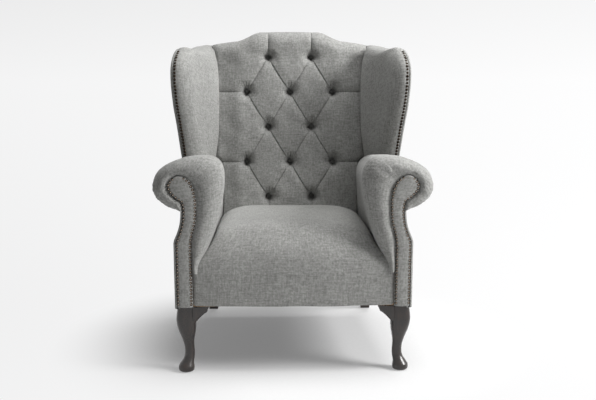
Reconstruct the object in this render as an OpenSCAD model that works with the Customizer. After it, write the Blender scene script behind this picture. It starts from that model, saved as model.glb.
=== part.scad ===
// Wing armchair with a deep-buttoned back, scroll arms and cabriole front legs.
// Millimetres, +Z up, the sitter faces -Y. The origin is on the floor, under the middle of the box.

/* [Overall] */
// Depth from the nail heads on the arm fronts to the heels of the back legs
chair_d = 770; // [750:5:800]
// Width of the upholstered body at its front, over both sides
body_w = 733; // [715:1:760]
// Width of the body at the back posts
rear_w = 650; // [640:1:660]
// Height of the frame above the floor, which is the length of the front legs
leg_h = 211; // [190:1:230]

/* [Seat] */
// Height of the seat's crown above the floor
seat_h = 455; // [445:1:470]
// Height of the seat rails
rail_h = 90; // [80:1:96]
// Thickness of the seat rails
rail_t = 26; // [22:1:30]
// Thickness of the stuffed border over the front rail
border_t = 11; // [8:1:14]
// Rise of the springs over the top of the rails
spring_rise = 22; // [16:1:28]
// Number of seat springs
spring_count = 5; // [4:1:6]
// Diameter of the spring wire
spring_wire = 4; // [3:0.5:5]
// Width of a seat spring over its bends
spring_w = 50; // [40:1:56]

/* [Back] */
// Lean of the back frame from the vertical, in degrees
frame_rake = 7; // [5:0.5:8]
// Lean of the stuffed front of the back, in degrees
pad_rake = 8.5; // [8:0.5:10]
// Thickness of the stuffed back in front of its frame, at the height of the seat
back_t = 124.7; // [110:0.1:135]
// Width of the stuffed back between the wings
back_w = 562; // [556:1:568]
// Height of the back's top edge where the wings meet it
shoulder_h = 1018; // [1005:1:1030]
// Rise of the hump in the middle of the top edge
hump_rise = 36; // [26:1:42]
// Width of the hump at its foot
hump_w = 410; // [380:1:430]
// Width of each of the hump's sloping shoulders
hump_shoulder = 100; // [80:1:120]
// Depth of the back posts, front to back
post_d = 44; // [38:1:46]
// Thickness of the back posts, across the chair
post_w = 34; // [30:1:38]
// Depth of a back leg at the floor
heel_d = 34; // [28:1:38]
// How far the back legs sweep out behind the frame
leg_sweep = 115; // [95:1:125]

/* [Buttoning] */
// Distance between neighbouring buttons in a row
tuft_pitch = 156; // [150:1:160]
// Distance between rows of buttons, along the back
tuft_row = 127; // [122:1:129]
// Height of the lowest row of buttons
tuft_low = 475; // [470:1:480]
// Depth of a button below the stuffed face
tuft_depth = 38; // [30:1:44]
// Diameter of a covered button
button_d = 23; // [20:1:26]
// Thickness of a covered button
button_t = 9; // [7:1:11]

/* [Arms] */
// Height of the top of the arms
arm_h = 670; // [660:1:676]
// Width over the scrolls of both arms
arm_span = 850; // [840:1:860]
// Clear width between the arms at their narrowest
arm_gap = 418; // [410:1:430]
// Thickness of the scroll boards and of the arm rails' ends
board_t = 30; // [26:1:34]
// Thickness of the covered panel on an arm's front
facing_t = 7; // [5:1:8]
// Thickness of the outside panels
panel_t = 9; // [8:1:11]

/* [Wings] */
// Angle that each wing opens outward, in degrees
wing_splay = 11.5; // [10:0.5:13.5]
// Reach of a wing forward of the back post, at its fullest
wing_reach = 311; // [295:1:320]
// Height of the top of the wings
wing_h = 1000; // [985:1:1008]
// Thickness of a wing's frame
wing_frame_t = 26; // [22:1:30]
// Thickness of the stuffing inside a wing, near its front
wing_stuff = 24; // [18:1:28]
// How much thicker that stuffing is where it meets the stuffed back
wing_fill = 45; // [30:1:50]

/* [Legs] */
// Width of a front leg at its knee
knee_w = 60; // [54:1:66]
// Width of a front leg at its ankle
ankle_w = 30; // [26:1:34]
// Diameter of a front foot
foot_w = 49; // [44:1:52]
// Length of the brackets beside the knees
bracket_l = 42; // [32:1:50]
// Height of the brackets beside the knees
bracket_h = 62; // [50:1:74]

/* [Nails] */
// Diameter of a nail's domed head
nail_d = 10; // [8:0.5:10.5]
// Height of a nail's head
nail_h = 3.5; // [2.5:0.5:4]
// Distance between neighbouring nails
nail_pitch = 10.9; // [10.8:0.1:13]

/* [Hidden] */
$fn = 48;

// Clearance between pieces that lie against each other
fit = 0.3;
// Overrun of every cutting shape
over = 5;
left = -1;
right = 1;

// The planes that the frame is set out from
front_y = -chair_d / 2 + nail_h;
rear_y = chair_d / 2;
board_y = front_y + facing_t + fit;
rail_front_y = board_y;
side_front_y = board_y + board_t + fit;
rail_z = leg_h;
rail_top = rail_z + rail_h;

// Back posts: straight and raked above the sweep, curved out to the heel below it
sweep_z = leg_h + rail_h / 4;
sweep_power = 1.35;
sweep_steps = 8;
post_mid_y = rear_y - heel_d / 2 - leg_sweep;
post_drop = 75;
post_top = shoulder_h - post_drop;
post_tilt = post_d / 2 * sin(frame_rake) * cos(frame_rake);
post_x = rear_w / 2 - panel_t - fit - post_w / 2;
function post_y(z) = z >= sweep_z
    ? post_mid_y + (z - sweep_z) * tan(frame_rake)
    : post_mid_y + leg_sweep * pow((sweep_z - z) / sweep_z, sweep_power);
function post_half(z) = z >= sweep_z
    ? post_d / 2
    : heel_d / 2 + (post_d - heel_d) / 2 * z / sweep_z;
function post_front(z) = post_y(z) - post_half(z);
function post_back(z) = post_y(z) + post_half(z);

// The stuffed back's face, and the plane that its stuffing is built up from
pad_foot_gap = 20;
pad_foot_z = rail_top + pad_foot_gap;
pad_face_y = post_front(seat_h) - back_t;
web_t = 2.4;
hessian_t = 1.6;
function face_y(z) = pad_face_y + (z - seat_h) * tan(pad_rake);
layers_t = 2 * web_t + hessian_t + 4 * fit;
function pad_back_y(z) = post_front(z) - layers_t;

// Height of the back's top edge at a distance from the middle
function hump(x) =
    let (t = max(0, min(1, (hump_w / 2 - abs(x)) / hump_shoulder)))
    hump_rise * t * t * (3 - 2 * t);
crest_crown = 20;
crest_power = 4;
function crest_z(x) = shoulder_h + hump(x)
    + crest_crown * (1 - pow(min(1, abs(x) / (back_w / 2)), crest_power));

module mirrored(side) {
    mirror([side < 0 ? 1 : 0, 0, 0]) children();
}

// Lays a drawing of side views, made with y across and z up, into the chair and gives it width
module side_plate(width) {
    rotate([90, 0, 90]) linear_extrude(width, center = true) children();
}

// Lays a drawing of front views, made with x across and z up, into the chair, from y backward
module front_plate(y, depth) {
    translate([0, y + depth, 0]) rotate([90, 0, 0]) linear_extrude(depth) children();
}

// A closed skin over rings that all have the same number of points
module loft(rings) {
    count = len(rings[0]);
    last = len(rings) - 1;
    points = [for (ring = rings) each ring];
    sides = [for (r = [0 : last - 1], i = [0 : count - 1])
        let (j = (i + 1) % count)
        each [[r * count + i, r * count + j, (r + 1) * count + j],
              [r * count + i, (r + 1) * count + j, (r + 1) * count + i]]];
    first_cap = [[for (i = [count - 1 : -1 : 0]) i]];
    last_cap = [[for (i = [0 : count - 1]) last * count + i]];
    polyhedron(points, concat(first_cap, sides, last_cap));
}

// A thick sheet between two grids of points that have the same rows and columns
module sheet(outer, inner) {
    rows = len(outer);
    columns = len(outer[0]);
    size = rows * columns;
    points = [for (grid = [outer, inner], row = grid) each row];
    cells = [for (r = [0 : rows - 2], c = [0 : columns - 2])
        let (a = r * columns + c, b = a + 1, d = a + columns, e = d + 1)
        each [[a, b, e], [a, e, d]]];
    far_cells = [for (f = cells) [f[2] + size, f[1] + size, f[0] + size]];
    rim = concat(
        [for (c = [0 : columns - 1]) c],
        [for (r = [1 : rows - 1]) r * columns + columns - 1],
        [for (c = [columns - 2 : -1 : 0]) (rows - 1) * columns + c],
        [for (r = [rows - 2 : -1 : 1]) r * columns]);
    edges = [for (i = [0 : len(rim) - 1])
        let (a = rim[i], b = rim[(i + 1) % len(rim)])
        each [[a, a + size, b], [b, a + size, b + size]]];
    polyhedron(points, concat(cells, far_cells, edges));
}

// Evenly spaced points along a line through given points, each with the line's slope there
function span(a, b) = norm(b - a);
function run_to(path, i) = i == 0 ? 0 : run_to(path, i - 1) + span(path[i - 1], path[i]);
function at_run(path, run, i = 0) =
    let (step = span(path[i], path[i + 1]))
    run <= step || i == len(path) - 2
        ? let (way = path[i + 1] - path[i])
          concat(path[i] + way * run / step, atan2(way[0], way[1]))
        : at_run(path, run - step, i + 1);
function spaced(path, pitch) =
    let (total = run_to(path, len(path) - 1), count = floor(total / pitch))
    [for (k = [0 : count]) at_run(path, k * total / count)];

// Line of the arm front's inner and outer nails. Each point of the ogees is a share of the half
// body width, measured inward from the body's side, and a share of the height from the frame to
// the arm's top. Across the scroll the first share is one of the arm's width, measured outward.
ogee_outer_shares = [
    [0.046, 0.022], [0.044, 0.380], [0.047, 0.440], [0.073, 0.492], [0.096, 0.553],
    [0.106, 0.627], [0.101, 0.680], [0.089, 0.714],
];
scroll_shares = [
    [0.643, 0.730], [0.706, 0.755], [0.751, 0.785], [0.757, 0.815], [0.719, 0.843],
    [0.671, 0.859], [0.614, 0.863], [0.541, 0.855], [0.475, 0.830], [0.427, 0.782],
];
ogee_inner_shares = [
    [0.193, 0.719], [0.192, 0.630], [0.185, 0.564], [0.162, 0.499], [0.149, 0.440],
    [0.146, 0.380], [0.150, 0.022],
];
body_half = body_w / 2;
arm_rise = arm_h - leg_h;
function arm_point(share) = [body_half * (1 - share[0]), leg_h + arm_rise * share[1]];
outer_line = [for (share = ogee_outer_shares) arm_point(share)];
arm_width = (arm_span - arm_gap) / 2;
scroll_line = [for (share = scroll_shares)
    [arm_gap / 2 + arm_width * share[0], leg_h + arm_rise * share[1]]];
inner_line = [for (share = ogee_inner_shares) arm_point(share)];
nail_line = concat(outer_line, scroll_line, inner_line);

// The covered panel on the arm's front, its scroll board and the stuffing behind them
facing_edge = nail_d / 2 + 0.8 * fit;
board_inset = 2;
module facing_outline(grow) {
    foot = rail_z;
    outline = concat([[outer_line[0][0], foot]], nail_line, [[inner_line[6][0], foot]]);
    intersection() {
        offset(r = grow) polygon(outline);
        translate([0, foot]) square([arm_span, arm_h]);
    }
}

module scroll_board(side) {
    color("burlywood") mirrored(side) front_plate(board_y, board_t)
        facing_outline(facing_edge - board_inset);
}

module arm_facing(side) {
    color("dimgray") mirrored(side) front_plate(front_y, facing_t) facing_outline(facing_edge);
}

// Seat rails
front_rail_x = inner_line[6][0] - facing_edge - fit;
front_rail_y = front_y + border_t + fit;
module front_seat_rail() {
    color("burlywood") translate([-front_rail_x, front_rail_y, rail_z])
        cube([2 * front_rail_x, rail_t, rail_h]);
}

back_rail_y = post_y(rail_z) - rail_t / 2;
back_rail_x = post_x - post_w / 2 - fit;
module back_seat_rail() {
    color("burlywood") translate([-back_rail_x, back_rail_y, rail_z])
        cube([2 * back_rail_x, rail_t, rail_h]);
}

side_front_x = body_half - 2 * panel_t;
side_rear_x = post_x + post_w / 2;
side_rear_y = post_front(sweep_z) - fit;
module side_seat_rail(side) {
    rear = side_rear_y;
    outer = [[side_front_x, side_front_y], [side_rear_x, rear]];
    inner = [[side_rear_x - rail_t, rear], [side_front_x - rail_t, side_front_y]];
    color("burlywood") mirrored(side) translate([0, 0, rail_z])
        linear_extrude(rail_h) polygon(concat(outer, inner));
}

// Glued blocks that brace the four corners inside the rails
block_l = 62;
block_gap = 12;
block_h = rail_h - 2 * block_gap;
block_z = rail_z + block_gap;
side_slope = (side_front_x - side_rear_x) / (side_rear_y - side_front_y);
function side_inner_x(y) = side_front_x - rail_t - side_slope * (y - side_front_y) - fit;
module corner_blocks() {
    front = side_front_y + fit;
    post_inner = back_rail_x - fit;
    back = back_rail_y - fit;
    color("tan") for (side = [left, right]) mirrored(side) {
        difference() {
            translate([0, 0, block_z]) linear_extrude(block_h) polygon([
                [side_inner_x(front), front],
                [side_inner_x(front) - block_l, front],
                [side_inner_x(front + block_l), front + block_l],
            ]);
            translate([bolt_x, bolt_y, block_z - over])
                cylinder(d = bolt_d + 2 * fit, h = block_h + 2 * over);
        }
        translate([0, 0, block_z]) linear_extrude(block_h) polygon([
            [post_inner, back],
            [post_inner - block_l, back],
            [side_inner_x(side_rear_y - block_l), side_rear_y - block_l],
            [side_inner_x(side_rear_y), side_rear_y - fit],
            [post_inner, side_rear_y - fit],
        ]);
    }
}

// Back posts, each one piece from the heel to the crest rail
module post_outline(grow) {
    low = [for (i = [0 : sweep_steps]) foot_z + (sweep_z - foot_z) * i / sweep_steps];
    front_z = concat(low, [post_top + post_tilt]);
    back_z = concat(low, [post_top - post_tilt]);
    front = [for (z = front_z) [post_front(z) - grow, z]];
    back = [for (i = [len(back_z) - 1 : -1 : 0]) [post_back(back_z[i]) + grow, back_z[i]]];
    polygon(concat(front, back));
}

module back_post(side) {
    color("burlywood") mirrored(side) difference() {
        translate([post_x, 0, 0]) side_plate(post_w) post_outline(0);
        translate([post_x, post_y(foot_z), 0]) glide_bore();
    }
}

// Frame pieces that lie in the raked plane of the back. Heights are measured along the chair.
module raked_plate(z_low, y_off, thick) {
    rise = z_low - sweep_z;
    translate([0, post_mid_y + rise * tan(frame_rake) + y_off, z_low])
        rotate([90 - frame_rake, 0, 0]) translate([0, 0, -thick / 2]) linear_extrude(thick)
        children();
}

crest_edge = 8;
crest_steps = 24;
module crest_outline(x_half, z_low, inset) {
    scale_up = 1 / cos(frame_rake);
    top = [for (i = [0 : crest_steps])
        let (x = x_half * (1 - 2 * i / crest_steps))
        [x, (crest_z(x) - inset - z_low) * scale_up]];
    polygon(concat([[-x_half, 0], [x_half, 0]], top));
}

module crest_rail() {
    x_half = post_x + post_w / 2;
    color("burlywood") raked_plate(post_top + fit, 0, post_d)
        crest_outline(x_half, post_top + fit, crest_edge);
}

low_rail_gap = 14;
low_rail_z = pad_foot_z + low_rail_gap;
low_rail_h = 60;
module lower_back_rail() {
    color("burlywood") raked_plate(low_rail_z, 0, rail_t)
        translate([-back_rail_x, 0]) square([2 * back_rail_x, low_rail_h]);
}

// Arm rail, inside the scroll, from the scroll board back to the post. It widens to carry
// the wing's post.
arm_rail_t = 26;
arm_rail_w = 38;
arm_rail_z = scroll_line[5][1] - arm_rail_t - board_inset;
arm_rail_x = scroll_line[7][0] - board_inset;
arm_rail_rear_w = 44;
module arm_rail_shape(grow) {
    rear = post_front(arm_rail_z) + post_d / 4;
    wing_reach_in = wing_edge[0][0] - wing_rim;
    wing_x = rear_w / 2 + wing_reach_in * sin(wing_splay) - wing_frame_near;
    wing_y = post_mid_y - wing_reach_in * cos(wing_splay);
    translate([0, 0, arm_rail_z - grow]) linear_extrude(arm_rail_t + 2 * grow)
        offset(delta = grow) polygon([
            [arm_rail_x, side_front_y],
            [arm_rail_x + arm_rail_w, side_front_y],
            [wing_x, wing_y],
            [post_x + arm_rail_rear_w, rear],
            [post_x, rear],
        ]);
}

module arm_rail(side) {
    color("burlywood") mirrored(side) difference() {
        arm_rail_shape(0);
        translate([post_x, 0, 0]) side_plate(post_w + 2 * fit) post_outline(fit);
    }
}

// Tacking rail along the foot of the arm, above the seat rail
tack_w = 22;
tack_h = 32;
tack_gap = 12;
tack_z = rail_top + spring_rise + tack_gap;
tack_front_x = outer_line[1][0] - facing_edge;
module arm_tack_rail(side) {
    rear = post_front(tack_z) - fit;
    color("burlywood") mirrored(side) difference() {
        translate([0, 0, tack_z]) linear_extrude(tack_h) polygon([
            [tack_front_x - tack_w, side_front_y],
            [tack_front_x, side_front_y],
            [side_rear_x, rear + over * 2],
            [side_rear_x - tack_w, rear + over * 2],
        ]);
        translate([post_x, 0, 0]) side_plate(2 * post_w) post_outline(fit);
    }
}

// Wings. Each lies in a plane that holds the raked post and opens forward from it.
// In that plane, reach runs forward from the post's middle and rise runs up from the sweep.
wing_lean = atan(sin(wing_splay) * tan(frame_rake));
wing_back_lean = atan(cos(wing_splay) * tan(frame_rake));
wing_sink = 30;
wing_foot = arm_h - wing_sink;
wing_edge_shares = [
    [0, 0.746], [0.233, 0.841], [0.35, 0.895], [0.464, 0.949], [0.633, 0.995],
    [0.74, 1], [0.83, 0.98], [0.91, 0.915], [0.965, 0.83], [1, 0.71],
];
wing_top_shares = [[0.5, -0.006], [0.25, 0.006], [0, 0.018]];
function rise_of(z) = z - sweep_z;
wing_edge = [for (share = wing_edge_shares)
    [wing_reach * share[1], rise_of(wing_foot + (wing_h - wing_foot) * share[0])]];
wing_top = [for (share = wing_top_shares)
    [wing_reach * share[0], rise_of(wing_h) * (1 + share[1])]];
function post_line(rise) = -rise * tan(wing_back_lean);

module wing_frame(side) {
    mirrored(side) translate([rear_w / 2, post_mid_y, sweep_z])
        rotate([0, wing_lean, wing_splay]) children();
}

// A plate in the wing's plane, from one depth to another below the outside face
module wing_plate(near, far) {
    translate([-(near + far) / 2, 0, 0]) side_plate(far - near) mirror([1, 0]) children();
}

wing_frame_near = panel_t + fit;
wing_frame_far = wing_frame_near + wing_frame_t;
wing_rim = 24;
wing_post_w = 42;
wing_rail_w = 44;
wing_rail_drop = 1;
module wing_outline(inset, drop, foot, back_gap) {
    level = wing_top[2][1] - drop;
    edge = [for (p = wing_edge) [p[0] - inset, min(p[1], rise_of(wing_h) - drop)]];
    polygon(concat(
        [[post_line(foot) + back_gap, foot]], [[wing_edge[0][0] - inset, foot]],
        edge, [for (p = wing_top) [p[0], p[1] - drop]],
        [[post_line(level) + back_gap, level]]));
}

wing_seat = arm_rail_z + arm_rail_t + fit;
module wing_post_shape(grow) {
    steps = len(wing_edge) - 4;
    front = [for (i = [0 : steps]) [wing_edge[i][0] - wing_rim + grow, wing_edge[i][1]]];
    back = [for (i = [steps : -1 : 0])
        [wing_edge[i][0] - wing_rim - wing_post_w - grow, wing_edge[i][1]]];
    foot = rise_of(wing_seat) - over;
    polygon(concat([[front[0][0], foot]], front, back, [[back[steps][0], foot]]));
}

module above_arm_rail() {
    translate([0, -chair_d / 2, wing_seat]) cube([arm_span, chair_d, chair_d]);
}

module wing_post(side) {
    color("burlywood") intersection() {
        wing_frame(side) wing_plate(wing_frame_near, wing_frame_far) wing_post_shape(0);
        mirrored(side) above_arm_rail();
    }
}

module wing_top_rail(side) {
    level = wing_edge[len(wing_edge) - 4][1] + fit;
    reach = wing_reach + over;
    color("burlywood") difference() {
        wing_frame(side) wing_plate(wing_frame_near, wing_frame_far) intersection() {
            wing_outline(wing_rim, wing_rail_drop, 0, -post_d);
            translate([-reach, level]) square([2 * reach, chair_d]);
        }
        mirrored(side) side_plate(2 * arm_span) polygon([
            [post_front(sweep_z) - fit, sweep_z],
            [post_front(sweep_z) - fit + 2 * chair_d * tan(frame_rake), sweep_z + 2 * chair_d],
            [chair_d, sweep_z + 2 * chair_d],
            [chair_d, sweep_z],
        ]);
    }
}

// Front legs: a cabriole leg is the same seen from the front and from the side, so each slice is
// a rounded square on the line through the corner. A share of the leg's height, the slice's
// distance from the corner at its outer side, its width, and how square it is.
foot_out = 10;
ankle_out = 29;
knee_out = 6;
knee_top_share = 0.8;
top_out = 11;
leg_slice_shares = [
    [0, 0.81, 0, 2], [0.02, 0.93, 0, 2], [0.048, 1, 0, 2], [0.075, 0.98, 0.06, 2],
    [0.11, 0.86, 0.3, 2], [0.16, 0.62, 0.62, 2.1], [0.22, 0.3, 0.87, 2.1],
    [0.3, 0, 1, 2.2], [0.37, 0, 0.95, 2.2],
];
knee_slice_shares = [
    [0.45, 0.16, 2.3], [0.53, 0.45, 2.5], [0.61, 0.74, 2.7], [0.69, 0.92, 3],
    [0.78, 1, 3.4], [0.87, 1, 3.8], [0.95, 0.98, 4.2], [1, 0.96, 4.4],
];
corner_x = body_half;
leg_sides = 24;
ankle_inner = ankle_out + ankle_w;
function squircle(mid, size, power, z, sides) = [for (i = [0 : sides - 1])
    let (a = -360 * i / sides, c = cos(a), s = sin(a),
         r = size / 2 * pow(pow(abs(c), power) + pow(abs(s), power), -1 / power))
    [mid[0] + r * c, mid[1] + r * s, z]];
function leg_z(share) = foot_z + (rail_z - fit - foot_z) * share;
function low_slice(share) =
    let (w = ankle_w + (foot_w - ankle_w) * share[1],
         inner = ankle_inner - (ankle_inner - foot_out - foot_w) * (1 - share[2]),
         d = inner - w / 2)
    squircle([corner_x - d, front_y + d], w, share[3], leg_z(share[0]), leg_sides);
function knee_slice(share) =
    let (w = ankle_w + (knee_w - ankle_w) * share[1],
         out = share[0] > knee_top_share
             ? knee_out + (top_out - knee_out) * (share[0] - knee_top_share) / (1 - knee_top_share)
             : ankle_out + (knee_out - ankle_out) * share[1],
         d = out + w / 2)
    squircle([corner_x - d, front_y + d], w, share[2], leg_z(share[0]), leg_sides);
bolt_d = 8;
bolt_l = 70;
bolt_edge = 13;
bolt_in = top_out + knee_w - bolt_edge;
bolt_x = corner_x - bolt_in;
bolt_y = front_y + bolt_in;
bolt_depth = 40;
bolt_end_gap = 1;
module front_leg(side) {
    color([0.2, 0.15, 0.13]) mirrored(side) difference() {
        loft(concat([for (share = leg_slice_shares) low_slice(share)],
                    [for (share = knee_slice_shares) knee_slice(share)]));
        translate([bolt_x, bolt_y, rail_z - bolt_depth])
            cylinder(d = bolt_d + fit, h = bolt_depth + over);
        translate([corner_x - foot_mid, front_y + foot_mid, 0]) glide_bore();
    }
}

// Shaped brackets that carry the knee's curve along the rails
bracket_t = 30;
bracket_gap = 1;
bracket_set = 3;
bracket_in = knee_w + top_out + bracket_gap;
set_in = top_out + bracket_set;
bracket_steps = 8;
bracket_tip_share = 0.3;
bracket_curve = 1.35;
module bracket_shape() {
    tip = bracket_h * bracket_tip_share;
    curve = [for (i = [0 : bracket_steps])
        let (t = i / bracket_steps)
        [bracket_l * t, -tip - (bracket_h - tip) * pow(1 - t, bracket_curve)]];
    polygon(concat([[0, 0]], curve, [[bracket_l, 0]]));
}

module knee_brackets() {
    color([0.2, 0.15, 0.13]) for (side = [left, right]) mirrored(side) {
        translate([corner_x - bracket_in, front_y + set_in, rail_z - fit])
            rotate([90, 0, 0]) mirror([0, 0, 1]) linear_extrude(bracket_t)
            mirror([1, 0]) bracket_shape();
        translate([corner_x - set_in, front_y + bracket_in, rail_z - fit])
            rotate([90, 0, -90]) mirror([1, 0, 0]) linear_extrude(bracket_t) bracket_shape();
    }
}

// A bolt up through each front corner, with its washer and nut over the corner block
nut_d = 13;
nut_t = 6.5;
washer_d = 20;
washer_t = 1.6;
block_top = block_z + block_h;
module leg_bolts() {
    top = block_top + fit;
    color("silver") for (side = [left, right]) mirrored(side) translate([bolt_x, bolt_y, 0]) {
        translate([0, 0, rail_z - bolt_depth + bolt_end_gap]) cylinder(d = bolt_d, h = bolt_l + bolt_depth);
        translate([0, 0, top]) cylinder(d = washer_d, h = washer_t);
        translate([0, 0, top + washer_t]) cylinder(d = nut_d, h = nut_t, $fn = 6);
    }
}

// Domed glides nailed under the four feet
glide_d = 20;
glide_flat = 14;
glide_t = 2;
glide_pin = 2.4;
glide_pin_l = 14;
foot_z = glide_t;
foot_mid = foot_out + foot_w / 2;
module glide_bore() {
    translate([0, 0, -over]) cylinder(d = glide_pin + fit, h = glide_pin_l + over + fit);
}

module glides() {
    color("gray") for (side = [left, right]) mirrored(side)
        for (spot = [[corner_x - foot_mid, front_y + foot_mid], [post_x, post_y(foot_z)]])
            translate([spot[0], spot[1], 0]) {
                cylinder(d1 = glide_flat, d2 = glide_d, h = glide_t);
                cylinder(d = glide_pin, h = glide_pin_l);
            }
}

// Zigzag seat springs, bowed up between the front and back rails
spring_turns = 16;
spring_y0 = front_rail_y + rail_t / 2;
spring_y1 = back_rail_y + rail_t / 2;
spring_z = rail_top + spring_wire / 2 + fit;
spring_sides = 6;
spring_pitch = 2 * (front_rail_x - spring_w) / (spring_count + 1);
function bow(y) =
    let (y0 = spring_y0 + spring_lead, y1 = spring_y1 - spring_lead,
         t = max(0, min(1, (y - y0) / (y1 - y0))))
    spring_rise * 4 * t * (1 - t);
spring_lead = 14;
spring_wave_shares = [[0.62, 0.06], [1, 0.28], [1, 0.72], [0.62, 0.94]];
function spring_path() =
    let (length = spring_y1 - spring_y0 - 2 * spring_lead, step = length / spring_turns)
    concat([[0, spring_y0], [0, spring_y0 + spring_lead]],
           [for (k = [0 : spring_turns - 1], share = spring_wave_shares)
               [(k % 2 == 0 ? 1 : -1) * share[0] * spring_w / 2,
                spring_y0 + spring_lead + step * (k + share[1])]],
           [[0, spring_y1 - spring_lead], [0, spring_y1]]);
function ring_at(p, q, r) =
    let (along = (r - q) / norm(r - q) + (q - p) / norm(q - p),
         way = along / norm(along), side = [way[1], -way[0]])
    [for (i = [0 : spring_sides - 1])
        let (a = 360 * i / spring_sides, w = spring_wire / 2)
        [q[0] + side[0] * w * cos(a), q[1] + side[1] * w * cos(a),
         spring_z + bow(q[1]) + w * sin(a)]];
module seat_spring() {
    path = spring_path();
    last = len(path) - 1;
    start = [0, path[0][1] - over];
    finish = [0, path[last][1] + over];
    loft([for (i = [0 : last])
        ring_at(i == 0 ? start : path[i - 1], path[i], i == last ? finish : path[i + 1])]);
}

module spring_places() {
    for (i = [0 : spring_count - 1])
        translate([spring_pitch * (i - (spring_count - 1) / 2), 0, 0]) children();
}

module seat_springs() {
    color("slategray") spring_places() seat_spring();
}

// Clips that hold the springs' ends down on the rails
clip_w = 18;
clip_d = 12;
clip_t = 1.2;
module spring_clip(y) {
    inner = spring_wire + 2 * fit;
    translate([0, y, rail_top]) difference() {
        translate([-clip_w / 2, -clip_d / 2, 0]) cube([clip_w, clip_d, inner + clip_t]);
        translate([0, 0, spring_z - rail_top]) rotate([90, 0, 0])
            cylinder(d = inner, h = clip_d + 2 * over, center = true);
        translate([-inner / 2, -clip_d, -over]) cube([inner, 2 * clip_d, over + inner / 2]);
    }
}

module spring_clips() {
    color("gray") spring_places() {
        spring_clip(spring_y0 + clip_d / 2 - fit);
        spring_clip(spring_y1 - clip_d / 2 + fit);
    }
}

// Cloth over the springs, tacked along the rails, under the seat's stuffing
deck_gap = spring_wire + clip_t + 4 * fit;
deck_steps = 14;
function deck_z(y) = rail_top + deck_gap + bow(y);
module deck_band(thick, y0, y1) {
    low = [for (i = [0 : deck_steps]) let (y = y0 + (y1 - y0) * i / deck_steps) [y, deck_z(y)]];
    high = [for (i = [deck_steps : -1 : 0]) [low[i][0], low[i][1] + thick]];
    polygon(concat(low, high));
}

seat_rear_y = face_y(rail_top) - fit;
module seat_hessian() {
    color("tan") side_plate(2 * (seat_rear_half - panel_t))
        deck_band(hessian_t, front_rail_y + fit, seat_rear_y);
}

// Webbing and cloth across the back frame, under the back's stuffing
web_w = 50;
web_rows = 5;
web_columns = 4;
web_inset = 12;
web_z = low_rail_z;
web_span = crest_z(back_w / 2) - web_z - 2 * web_w;
module on_back_frame(gap) {
    translate([0, post_front(sweep_z) - gap, sweep_z]) rotate([90 - frame_rake, 0, 0])
        children();
}

module back_webbing() {
    up = (web_z - sweep_z) / cos(frame_rake);
    half_w = post_x - web_inset;
    row_step = (web_span - web_w) / (web_rows - 1);
    column_step = (2 * half_w - 3 * web_w) / (web_columns - 1);
    color("tan") {
        on_back_frame(fit) for (i = [0 : web_rows - 1])
            translate([-half_w, up + row_step * i + web_w, 0])
                cube([2 * half_w, web_w, web_t]);
        on_back_frame(2 * fit + web_t) for (i = [0 : web_columns - 1])
            translate([-half_w + web_w + column_step * i, up, 0])
                cube([web_w, web_span + web_w, web_t]);
    }
}

module back_hessian() {
    up = (web_z - sweep_z) / cos(frame_rake);
    half_w = back_rail_x - over;
    color("tan") on_back_frame(3 * fit + 2 * web_t)
        translate([-half_w, up, 0]) cube([2 * half_w, web_span + web_w, hessian_t]);
}

// Scroll arms. Points of the arm's outline are shares of its width, from the inner side to the
// scroll's outer side, and of its height above the frame.
arm_front_shares = [
    [0.352, 0.219], [0.342, 0.285], [0.245, 0.379], [0.157, 0.477], [0.088, 0.586],
    [0.032, 0.695], [0, 0.804], [0, 0.88], [0.042, 0.939], [0.144, 0.983], [0.32, 1],
    [0.514, 0.991], [0.69, 0.965], [0.838, 0.93], [0.94, 0.887], [0.995, 0.826],
    [1, 0.773], [0.955, 0.723], [0.862, 0.682], [0.755, 0.654], [0.66, 0.645],
];
arm_rear_shares = [
    [0.199, 0.219], [0.19, 0.285], [0.181, 0.379], [0.171, 0.477], [0.167, 0.586],
    [0.162, 0.695], [0.162, 0.76], [0.176, 0.815], [0.218, 0.856], [0.292, 0.885],
    [0.384, 0.898], [0.477, 0.895], [0.569, 0.885], [0.653, 0.863], [0.718, 0.834],
    [0.755, 0.797], [0.755, 0.76], [0.731, 0.721], [0.685, 0.686], [0.634, 0.665],
    [0.597, 0.651],
];
function arm_outline(shares) = [for (share = shares)
    [arm_gap / 2 + arm_width * share[0], leg_h + arm_rise * share[1]]];
arm_front = arm_outline(arm_front_shares);
arm_rear = arm_outline(arm_rear_shares);

// The same line moved outward by a distance
function moved(line, d) = [for (i = [1 : len(line) - 2])
    let (way = line[i + 1] - line[i - 1]) line[i] + d * [way[1], -way[0]] / norm(way)];
board_gap = facing_edge + 2 * fit;
board_from = 4;
board_to = 24;
arm_hollow_shift = 27;
arm_hollow_front = let (line = moved([for (i = [board_from : board_to]) nail_line[i]], board_gap))
    concat(line, [[line[len(line) - 1][0], arm_front[0][1]]]);
arm_hollow_rear = [for (p = arm_hollow_front) [p[0] - arm_hollow_shift, p[1]]];

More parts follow.
